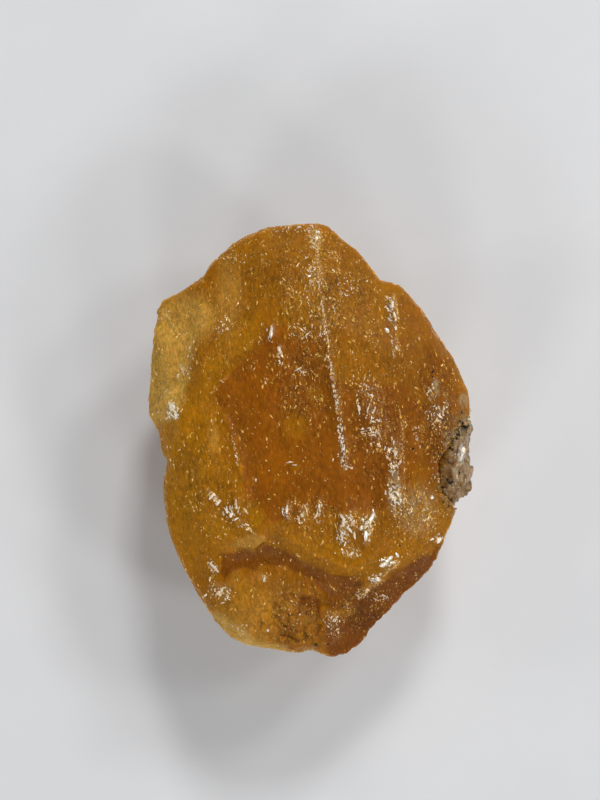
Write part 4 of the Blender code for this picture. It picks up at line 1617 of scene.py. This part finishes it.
@dataclass
class CleavageFlakes:
    """The larger bright flakes that stand out of the rubbed places."""

    seed: int = 11
    cleavage: Triple = (0.073, 0.416, 0.906)
    least_turned: float = 0.15
    most_turned: float = 0.8
    scatter: float = 0.06
    least_upright: float = 0.3
    roundness: int = 2
    raggedness: float = 0.3 * MM
    noise_scale: float = 4600.0
    clusters: tuple[Cluster, ...] = rows(
        Cluster,
        (0.2, 20.3, 0.9, 1.3, 30), (0.1, 16.9, 0.9, 1.9, 40, 0.45), (3.4, 15.4, 1.1, 1.7, 24, 0.4),
        (1.3, 13.6, 1.6, 1.2, 16, 0.3), (1.1, 10.9, 0.6, 0.8, 22, 0.4),
        (1.8, 7.4, 0.2, 1.7, 26, 0.35, -9, 25), (2.3, 3.9, 0.2, 1.8, 34, 0.45, -9, 25),
        (2.8, 0.4, 0.22, 1.8, 38, 0.45, -9, 30), (2.9, -1.6, 0.6, 0.8, 26, 0.4),
        (7.7, 12.9, 0.5, 1.7, 30, 0.6), (7.8, 9.4, 0.12, 1.3, 14, 0.4, -4, 15),
        (5.1, 5.2, 0.9, 0.7, 18, 0.4), (4.5, 3.4, 0.2, 1.6, 12, 0.5, -5, 20), (5.9, 2.3, 0.9, 1.5, 34, 0.5),
        (5.3, 1.2, 1.0, 0.4, 12, 0.6, -90, 20), (6.1, 0.2, 0.6, 0.6, 12, 0.4),
        (7.4, -0.9, 0.5, 0.8, 22, 0.5), (7.8, -2.4, 0.45, 0.8, 22, 0.4),
        (8.0, -0.8, 0.1, 3.2, 26, 0.5, -2, 12), (7.9, -5.0, 0.8, 1.3, 34, 0.6),
        (9.8, -6.9, 2.2, 1.8, 34, 0.45), (-2.7, -6.8, 0.4, 0.9, 8, 0.4, -5, 25),
        (-1.2, -7.3, 0.6, 0.6, 16, 0.45), (0.5, -6.8, 0.4, 1.0, 16, 0.5, -5, 30),
        (2.9, -8.6, 0.7, 1.4, 34, 0.6, -10, 45), (3.7, -7.4, 0.6, 0.8, 16, 0.5),
        (5.3, -8.2, 0.45, 1.4, 20, 0.7, 15, 30), (3.4, -10.8, 1.2, 0.5, 18, 0.45),
        (7.1, -11.7, 0.9, 0.5, 18, 0.6), (6.0, -13.4, 0.6, 0.6, 16, 0.5), (4.7, -15.0, 0.6, 0.5, 12, 0.4),
        (6.7, -15.4, 1.3, 0.5, 14, 0.5, -55, 12), (11.7, 4.9, 0.6, 0.9, 18, 0.4),
        (12.2, 2.5, 1.1, 1.1, 34, 0.45), (13.4, 3.8, 0.4, 0.4, 10, 0.35), (12.9, -9.6, 0.7, 0.5, 14, 0.5),
        (-13.6, 3.2, 0.75, 1.0, 44, 0.6), (-12.7, 7.1, 0.6, 0.6, 18, 0.4), (-12.0, 8.6, 0.4, 1.4, 12, 0.35),
        (-9.8, -12.2, 0.5, 0.7, 14, 0.5, 30, 25), (-8.8, -14.8, 1.3, 0.8, 34, 0.5),
        (-9.6, -5.4, 0.5, 0.4, 12, 0.5, -50, 20), (-7.9, -6.7, 0.9, 0.9, 30, 0.5),
        (-6.5, -8.0, 0.8, 0.6, 12, 0.4, -50, 30), (2.1, -18.0, 0.8, 1.5, 28, 0.45),
        (-1.6, -16.6, 1.6, 1.6, 18, 0.4), (-7.2, -18.3, 0.7, 0.5, 12, 0.35),
        (-4.8, -13.1, 0.35, 0.3, 8, 0.3), (-8.9, 11.5, 0.9, 0.8, 14, 0.35),
        (-4.2, 10.4, 0.3, 0.9, 10, 0.4, 0, 20), (-3.2, 8.4, 0.5, 0.8, 16, 0.4),
        (-0.9, 6.9, 0.8, 0.4, 14, 0.35, -70, 40), (-1.2, 10.9, 0.9, 0.9, 14, 0.4),
        (10.4, 0.6, 0.4, 1.3, 14, 0.4, -5, 20), (-15.6, 12.2, 0.5, 0.7, 10, 0.3),
        (12.6, -3.4, 0.9, 2.2, 26, 0.4), (-2.6, 21.2, 2.6, 0.35, 34, 0.28),
        (-8.0, 18.4, 1.6, 0.9, 18, 0.25, -45, 50), (2.1, 5.4, 0.16, 2.4, 30, 0.3, -8, 20),
        (2.9, 0.2, 0.2, 2.0, 40, 0.3, -6, 30), (3.4, -2.3, 0.6, 0.3, 14, 0.3, -60, 30),
        (-7.6, 0.0, 0.2, 2.6, 16, 0.3, -15, 25), (1.25, 11.6, 0.08, 2.6, 30, 0.34, -9, 12),
        (0.7, 15.2, 0.08, 1.8, 20, 0.3, -9, 12), (-0.3, 13.2, 0.1, 2.4, 18, 0.3, -9, 12),
        (8.05, -5.2, 0.85, 2.0, 30, 0.4), (14.4, -4.3, 0.7, 1.4, 14, 0.35), (14.2, -1.6, 0.5, 1.2, 8, 0.3),
    )
    flakes: tuple[Flake, ...] = rows(
        Flake,
        (-4.0, 10.8, 1.5, 0.34, 2), (-3.2, 9.1, 0.8, 0.36, -25), (-2.9, 8.5, 0.4, 0.2, -20),
        (7.9, 13.6, 0.9, 0.36, 12), (8.1, 12.6, 0.7, 0.32, -8), (7.3, 11.0, 0.55, 0.4, -35),
        (8.2, 11.2, 0.5, 0.26, 10), (8.2, 9.3, 0.35, 0.2, 0), (7.5, 14.2, 0.9, 0.14, 60),
        (0.4, 20.2, 0.7, 0.3, 12), (0.6, 20.9, 0.4, 0.3, 40), (-1.3, 21.4, 0.5, 0.3, 80),
        (-2.45, -6.35, 1.0, 0.24, 6), (-2.9, -6.6, 0.8, 0.12, 0), (-1.0, -7.0, 0.5, 0.3, -50),
        (-0.6, -6.4, 0.9, 0.18, -18), (0.7, -6.3, 1.0, 0.2, -12), (0.3, -7.1, 0.5, 0.2, 30),
        (3.0, -7.6, 1.0, 0.26, 8), (2.85, -8.9, 1.3, 0.22, -10), (3.6, -8.4, 0.9, 0.22, -38),
        (3.9, -7.8, 0.7, 0.26, 25), (4.1, -9.0, 0.8, 0.2, -10), (5.75, -7.3, 1.5, 0.45, 25),
        (5.2, -8.9, 1.4, 0.36, 2), (4.8, -8.2, 0.7, 0.34, 30), (6.0, -6.8, 0.9, 0.16, -20),
        (3.8, -10.8, 0.5, 0.2, 40), (4.4, -11.0, 0.4, 0.2, -30), (7.1, -11.85, 1.2, 0.42, 58),
        (7.55, -11.4, 0.95, 0.36, 44), (7.9, -11.75, 0.5, 0.3, 80), (8.3, -11.0, 0.7, 0.3, -40),
        (6.4, -13.4, 0.7, 0.42, -50), (6.7, -12.9, 0.4, 0.3, 0), (5.4, -14.5, 0.4, 0.32, 20),
        (4.6, -15.4, 0.34, 0.3, 0), (7.3, -15.4, 1.2, 0.14, -55), (6.4, -15.7, 1.0, 0.12, -55),
        (12.7, -9.8, 0.8, 0.5, 30), (11.9, -9.7, 0.6, 0.24, 70), (11.8, -5.4, 0.42, 0.34, 0),
        (8.3, -4.9, 1.0, 0.3, -42), (7.9, -5.3, 0.8, 0.24, -60), (8.6, -5.6, 0.5, 0.24, 10),
        (8.1, -0.9, 0.6, 0.3, -20), (8.5, -1.9, 0.5, 0.28, 25), (7.9, -2.2, 0.5, 0.22, -70),
        (5.4, 3.2, 0.8, 0.14, 5), (6.4, 2.2, 0.6, 0.16, -60), (6.2, 1.2, 0.5, 0.2, 20),
        (5.8, 0.8, 0.9, 0.12, 88), (6.5, -0.2, 0.5, 0.3, -30), (5.8, 4.6, 0.6, 0.16, -10),
        (12.6, 2.6, 1.0, 0.14, -50), (12.0, 2.0, 0.8, 0.14, 40), (13.0, 3.4, 0.5, 0.18, 0),
        (-13.8, 3.6, 1.0, 0.42, -36), (-13.4, 2.8, 0.7, 0.3, -20), (-14.3, 2.4, 0.5, 0.2, 60),
        (-12.9, 7.2, 0.6, 0.2, -40), (-13.3, 6.6, 0.5, 0.24, 20), (-9.7, -12.3, 1.5, 0.26, -45),
        (-10.1, -13.5, 0.6, 0.26, 25), (-10.6, -15.2, 0.5, 0.2, 60), (-9.2, -14.8, 0.6, 0.4, 50),
        (-8.3, -15.1, 0.6, 0.2, 0), (-8.8, -15.8, 0.6, 0.16, 70), (-4.7, -13.4, 0.5, 0.26, 10),
        (-4.4, -18.6, 0.36, 0.3, 0), (-6.8, -18.9, 0.3, 0.16, 40), (-1.2, -17.0, 0.3, 0.2, 40),
        (1.9, -17.2, 0.4, 0.14, 20), (1.6, -18.2, 0.4, 0.16, -40), (-9.8, -5.2, 0.9, 0.26, 38),
        (-9.2, -5.8, 0.8, 0.36, 32), (-7.4, -5.9, 1.0, 0.18, -14), (-7.9, -7.0, 0.7, 0.34, 20),
        (-7.4, -7.4, 0.6, 0.16, 60), (-6.5, -6.6, 0.9, 0.18, -38), (-6.3, -8.4, 0.5, 0.26, 50),
        (-7.4, -1.3, 0.5, 0.18, -42), (-5.5, -3.6, 0.4, 0.2, 0), (-1.4, 7.2, 0.9, 0.12, 62),
        (-0.7, 6.9, 0.5, 0.14, 70), (-1.0, 11.0, 0.9, 0.1, -50), (-0.5, 10.6, 0.8, 0.1, 45),
        (-9.2, 11.3, 0.3, 0.16, 0), (-8.3, 11.2, 0.3, 0.2, 60), (-8.4, 12.2, 0.5, 0.12, 8),
        (-15.5, 12.6, 0.5, 0.24, -10), (-8.8, 6.0, 0.5, 0.14, -60), (14.95, -0.9, 1.0, 0.42, 25),
        (14.7, -1.6, 0.7, 0.34, 30), (14.3, -3.4, 0.5, 0.16, -8), (15.2, -3.8, 0.4, 0.14, 10),
        (-2.2, -1.85, 0.8, 0.09, 82), (-1.7, -2.1, 0.6, 0.08, 88), (2.95, -7.2, 0.8, 0.3, -35),
        (4.0, -7.7, 0.6, 0.3, 20), (2.0, -1.6, 0.4, 0.14, 20), (3.1, -0.4, 0.9, 0.16, 6),
        (2.9, 1.4, 0.6, 0.12, 6),
    )
    whitest: tuple[Patch, ...] = rows(
        Patch,
        (5.3, -8.2, 0.9, 1.8), (3.0, -8.4, 0.9, 1.5), (7.5, -11.6, 1.4, 0.9), (6.2, -13.4, 0.9, 0.8),
        (-4.0, 10.8, 0.5, 1.0), (8.1, -5.0, 0.8, 1.2), (7.9, 12.9, 0.6, 1.8), (-13.7, 3.1, 1.0, 1.2),
        (-9.7, -12.4, 0.7, 0.9), (0.3, 20.6, 0.8, 1.0), (2.9, -0.4, 0.4, 2.4), (-2.4, -6.4, 0.7, 0.9),
        (12.6, -9.7, 0.7, 0.6), (11.8, -5.4, 0.5, 0.5), (15.0, -1.1, 0.8, 1.2), (-7.9, -6.9, 0.8, 0.8),
        (7.4, 11.0, 0.6, 0.6), (-4.7, -13.4, 0.5, 0.5),
    )

    def build(self, ground: Ground, material: bpy.types.Material) -> bpy.types.Object:
        """Sets each flake half sunk into whatever lies under its place, if that isn't too steep.

        Args:
            ground: the stone and the quartz.
            material: what the flakes are made of.

        Returns:
            One piece with all of them.
        """
        draw = np.random.default_rng(self.seed)
        flakes = list(self.flakes) + [flake for cluster in self.clusters for flake in cluster.flakes(draw)]
        met = [(flake, ground.under(flake.x, flake.y)) for flake in flakes]
        met = [(flake, top) for flake, top in met if top is not None and top.normal.z > self.least_upright]
        spots = bpy.data.meshes.new("flake spots")
        spots.vertices.add(len(met))
        kinds = {"flake_size": "FLOAT_VECTOR", "flake_turn": "FLOAT_VECTOR", Mark.FROST.value: "FLOAT"}
        for name, kind in kinds.items():
            spots.attributes.new(name, kind, "POINT")
        sizes, turns, whites = (spots.attributes[name].data for name in kinds)
        for index, (flake, top) in enumerate(met):
            white = float(strongest(self.whitest, np.array([flake.x]), np.array([flake.y]))[0])
            share = self.least_turned + (self.most_turned - self.least_turned) * white
            facing = top.normal.lerp(Vector(self.cleavage), share) + Vector(draw.normal(0, self.scatter, 3))
            turn = UP.rotation_difference(facing.normalized()) @ Quaternion(UP, math.radians(-flake.lean))
            thick = 0.3 * flake.width + 0.02 + 0.06 * flake.length
            spots.vertices[index].co = top.place
            sizes[index].vector = (flake.width * MM / 2, flake.length * MM / 2, thick * MM)
            turns[index].vector = tuple(turn.to_euler())
            whites[index].value = white
        inputs = {"Roundness": self.roundness, "Raggedness": self.raggedness, "Material": material}
        growth = GrowthTree("cleavage flakes", inputs)
        chip = growth.graph.add(
            "GeometryNodeMeshIcoSphere", {"Radius": 1.0, "Subdivisions": growth.given["Roundness"]}
        )
        turned, size = (growth.attribute(name, "FLOAT_VECTOR") for name in ("flake_turn", "flake_size"))
        chips = growth.placed(growth.given["Geometry"], chip.outputs[0], turned, size)
        ragged = growth.ragged(chips, self.noise_scale, growth.given["Raggedness"])
        piece = growth.grow("cleavage_flakes", ragged, spots)
        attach(piece, BODY)
        return piece


@dataclass
class QuartzRubble:
    """Small lumps of quartz crowded round its socket, which blur its edge with the stone."""

    seed: int = 5
    number: int = 150
    in_crevice: int = 330
    beside: int = 460
    crevice: float = 0.45
    side_crevice: float = 1.5
    side_growth: float = 1.5
    side_low: Spot = (-7.6, 7.6)
    side_high: Spot = (3.8, 18.0)
    side_start: float = 30.0
    crevice_tries: int = 6000
    side_tries: int = 9000
    smallest: float = 0.06
    largest: float = 0.18
    raggedness: float = 0.18
    noise_scale: float = 3200.0
    bounds: tuple[Spot, ...] = (
        (13.9, 3.0), (12.9, 1.6), (12.6, 0.2), (12.0, -1.6), (11.7, -3.2), (12.4, -4.8), (13.2, -5.9),
        (14.2, -6.6), (15.3, -5.8), (16.0, -3.4), (15.9, -0.8), (15.9, 1.4), (15.2, 2.9),
    )

    def build(self, ground: Ground, material: bpy.types.Material) -> bpy.types.Object:
        """Sets the lumps half sunk into whatever lies under them.

        Args:
            ground: the stone and the quartz.
            material: what the lumps are made of.

        Returns:
            One piece with all of them.
        """
        above, beside = self._places(ground)
        spots = bpy.data.meshes.new("rubble spots")
        spots.from_pydata([tuple(place) for place in above + beside], [], [])
        growing = spots.attributes.new("lump_growth", "FLOAT", "POINT")
        growing.data.foreach_set("value", [1.0] * len(above) + [self.side_growth] * len(beside))
        inputs = {
            "Smallest": self.smallest * MM,
            "Largest": self.largest * MM,
            "Raggedness": self.raggedness * MM,
            "Seed": self.seed,
            "Material": material,
        }
        growth = GrowthTree("quartz rubble", inputs)
        graph, given = growth.graph, growth.given
        lump = graph.add("GeometryNodeMeshIcoSphere", {"Radius": 1.0, "Subdivisions": 2})
        turned = growth.chance((0.0, 0.0, 0.0), (6.3, 6.3, 6.3))
        squat = growth.chance((0.5, 0.6, 0.5), (1.0, 1.4, 0.9))
        mostly_small = graph.math("POWER", growth.chance(0.0, 1.0, 1.0), 3.0)
        size = graph.spread(mostly_small, 0.0, 1.0, given["Smallest"], given["Largest"])
        grown = graph.scaled(squat, graph.times(size, growth.attribute("lump_growth")))
        lumps = growth.placed(given["Geometry"], lump.outputs[0], turned, grown)
        ragged = growth.ragged(lumps, self.noise_scale, given["Raggedness"])
        piece = growth.grow("quartz_rubble", ragged, spots)
        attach(piece, BODY)
        return piece

    def _places(self, ground: Ground) -> tuple[list[Vector], list[Vector]]:
        """Finds the lumps' places.

        Args:
            ground: the stone and the quartz.

        Returns:
            The places seen from above and those on the outer side, in metres.
        """
        draw = np.random.default_rng(self.seed)
        low, high = np.min(self.bounds, axis=0), np.max(self.bounds, axis=0)
        tries = draw.uniform(low, high, (self.number * 3, 2))
        inside = Region(self.bounds, 1.0, 0.5).shape(tries[:, 0], tries[:, 1])
        kept = tries[inside > draw.random(len(tries))][: self.number]
        tops = [ground.under(x, y) for x, y in kept]
        above = [top.place for top in tops if top is not None]
        over = draw.uniform(low - 0.5, high + 0.5, (self.crevice_tries, 2))
        downward = [Vector((x * MM, y * MM, ground.HEIGHT)) for x, y in over]
        above += self._by_junction(ground, downward, -UP, self.in_crevice, lambda: self.crevice)
        along = draw.uniform(self.side_low, self.side_high, (self.side_tries, 2))
        inward = [Vector((self.side_start * MM, y * MM, z * MM)) for y, z in along]
        beside = self._by_junction(
            ground, inward, Vector((-1, 0, 0)), self.beside, lambda: self.side_crevice * draw.random() ** 1.5
        )
        return above, beside

    @staticmethod
    def _by_junction(
        ground: Ground, starts: list[Vector], way: Vector, wanted: int, reach: Callable[[], float]
    ) -> list[Vector]:
        """Places near the line where the quartz meets the stone.

        Args:
            ground: the stone and the quartz.
            starts: where the rays that look for them start, in metres.
            way: which way the rays go.
            wanted: how many places are enough.
            reach: gives how far from the other surface the next place may be, in millimetres.

        Returns:
            The places, in metres.
        """
        found: list[Vector] = []
        for start in starts:
            met = ground.meet(start, way)
            if met and len(found) < wanted and met.other.find_nearest(met.place)[3] < reach() * MM:
                found.append(met.place)
        return found


@dataclass
class OreGrains:
    """Grains of black ore at the right edge and a few strays: each one's place and its radius."""

    seed: int = 3
    roundness: int = 3
    roughness: float = 0.55
    noise_scale: float = 1.7
    grains: tuple[Triple, ...] = (
        (14.6, 1.0, 0.20), (14.52, 0.75, 0.24), (14.4, 0.4, 0.18), (15.4, 1.65, 0.34), (15.0, 1.9, 0.18),
        (13.4, -3.7, 0.19), (13.7, -4.0, 0.24), (13.9, -3.9, 0.15), (13.0, -5.9, 0.13), (13.6, -6.3, 0.16),
        (8.6, -10.1, 0.13), (11.9, 7.0, 0.14), (11.9, 6.5, 0.12), (9.9, -0.6, 0.13), (10.0, 1.1, 0.10),
        (10.1, 0.5, 0.11), (3.0, -16.2, 0.14), (0.4, -20.2, 0.20), (1.6, -20.2, 0.16), (13.0, 2.2, 0.12),
        (14.6, -3.0, 0.12), (14.0, -2.0, 0.11), (12.7, -1.2, 0.10), (14.7, 2.1, 0.14), (14.9, 3.0, 0.12),
    )

    def build(self, ground: Ground, material: bpy.types.Material) -> bpy.types.Object:
        """Sets each grain half sunk into whatever lies under its place.

        Args:
            ground: the stone and the quartz.
            material: what the grains are made of.

        Returns:
            One piece with all of them.
        """
        spots = bpy.data.meshes.new("ore spots")
        spots.vertices.add(len(self.grains))
        sizes = spots.attributes.new("grain_size", "FLOAT", "POINT")
        for index, (x, y, size) in enumerate(self.grains):
            spots.vertices[index].co = ground.under(x, y).place
            sizes.data[index].value = size * MM
        inputs = {
            "Roundness": self.roundness,
            "Roughness": self.roughness,
            "Seed": self.seed,
            "Material": material,
        }
        growth = GrowthTree("ore grains", inputs)
        graph, given = growth.graph, growth.given
        lump = graph.add("GeometryNodeMeshIcoSphere", {"Radius": 1.0, "Subdivisions": given["Roundness"]})
        lumpy = growth.ragged(lump.outputs[0], self.noise_scale, given["Roughness"])
        turned = growth.chance((0.0, 0.0, 0.0), (6.3, 6.3, 6.3))
        squat = growth.chance((0.6, 0.6, 0.6), (1.0, 1.5, 1.0))
        grown = graph.scaled(squat, growth.attribute("grain_size"))
        piece = growth.grow("ore_grains", growth.placed(given["Geometry"], lumpy, turned, grown), spots)
        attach(piece, BODY)
        return piece


# The table, the lights and the camera


@dataclass(frozen=True)
class Lamp:
    """A square soft light that looks at the stone."""

    name: str
    azimuth: float
    elevation: float
    power: float
    distance: float = 0.7
    side: float = 0.12
    colour: Triple = (1.0, 0.98, 0.94)

    def build(self) -> bpy.types.Object:
        """Hangs the lamp.

        Returns:
            The lamp.
        """
        light = bpy.data.lights.new(self.name, "AREA")
        light.shape = "SQUARE"
        light.size = self.side
        light.energy = self.power
        light.color = self.colour
        lamp = bpy.data.objects.new(self.name, light)
        turn, rise = math.radians(self.azimuth), math.radians(self.elevation)
        way = Vector((math.cos(turn) * math.cos(rise), math.sin(turn) * math.cos(rise), math.sin(rise)))
        lamp.location = way * self.distance
        lamp.rotation_euler = way.to_track_quat("Z", "Y").to_euler()
        bpy.context.scene.collection.objects.link(lamp)
        return lamp


@dataclass
class Studio:
    """Where the stone lies: a pale table, soft lamps, dim air and a camera straight above."""

    table_side: float = 1.0
    camera_height: float = 0.192
    aim: Spot = (-1.2, 4.2)
    lens: float = 79.9
    nearest: float = 0.001
    air: float = 0.1
    backdrop: float = 0.62
    air_colour: Colour = (1.0, 0.98, 0.95, 1.0)
    lamps: tuple[Lamp, ...] = rows(
        Lamp,
        ("head_lamp", 80, 40, 1.95),
        ("head_right_lamp", 50, 40, 0.90),
        ("right_lamp", 20, 42, 0.55),
        ("foot_right_lamp", 330, 38, 0.65),
        ("foot_lamp", 298, 36, 0.50),
        ("low_foot_lamp", 270, 32, 0.65),
        ("left_lamp", 238, 32, 0.72),
        ("low_left_lamp", 176, 20, 0.50),
    )

    def build(self, skin: EtchedSkin) -> None:
        """Sets out the table, the lamps, the air and the camera.

        Args:
            skin: the shared surface group.
        """
        bpy.ops.mesh.primitive_plane_add(size=self.table_side)
        table = bpy.context.object
        table.name = "table"
        table.data.materials.append(TableFinish().material(skin))
        for lamp in self.lamps:
            lamp.build()
        world = bpy.data.worlds.new("air")
        world.use_nodes = True
        graph = Graph(world.node_tree)
        seen = graph.add("ShaderNodeLightPath").outputs["Is Camera Ray"]
        strength = graph.spread(seen, 0.0, 1.0, self.air, self.backdrop)
        graph.plug(world.node_tree.nodes["Background"], {"Color": self.air_colour, "Strength": strength})
        bpy.context.scene.world = world
        bpy.context.scene.view_settings.view_transform = "Standard"
        view = bpy.data.cameras.new("view")
        view.lens = self.lens
        view.clip_start = self.nearest
        camera = bpy.data.objects.new("view", view)
        camera.location = (self.aim[0] * MM, self.aim[1] * MM, self.camera_height)
        bpy.context.scene.collection.objects.link(camera)
        bpy.context.scene.camera = camera


def report(piece: bpy.types.Object) -> None:
    """Says what a finished piece is made of."""
    LOG.info("%s: %d vertices, %d faces", piece.name, len(piece.data.vertices), len(piece.data.polygons))


def write_sizes() -> None:
    """Brings the view layer up to date."""
    bpy.context.view_layer.update()


def main() -> None:
    """Builds the stone, what grows and clings on it, and the studio."""
    logging.basicConfig(level=logging.INFO, format="%(name)s: %(message)s")
    skin = EtchedSkin()
    stone = Scheelite().build()
    report(stone.finished(ScheeliteFinish().material(skin), "scheelite"))
    quartz = QuartzEdge().build(stone)
    report(quartz.finished(QuartzFinish().material(skin), "quartz"))
    ground = Ground(stone, quartz)
    browner = QuartzFinish(
        "quartz_rubble",
        clear=(0.76, 0.50, 0.25, 1.0),
        veil=(0.48, 0.25, 0.07, 1.0),
        stained=(0.43, 0.165, 0.008, 1.0),
        stain_from=14.7,
        stain_to=13.5,
        clearness=0.25,
    )
    report(QuartzRubble().build(ground, browner.material(skin)))
    report(SeamCrumbs().build(stone, CrumbFinish().material(skin)))
    flaky = CrumbFinish(
        "cleavage_flakes",
        warm=(0.97, 0.66, 0.33, 1.0),
        white=(1.0, 0.94, 0.83, 1.0),
        whiteness=0.15,
        roughness=(0.24, 0.38),
        lustre=1.0,
        mirror=0.25,
    )
    report(CleavageFlakes().build(ground, flaky.material(skin)))
    report(OreGrains().build(ground, GrainFinish().material(skin)))
    Studio().build(skin)
    write_sizes()


if __name__ == "__main__":
    main()
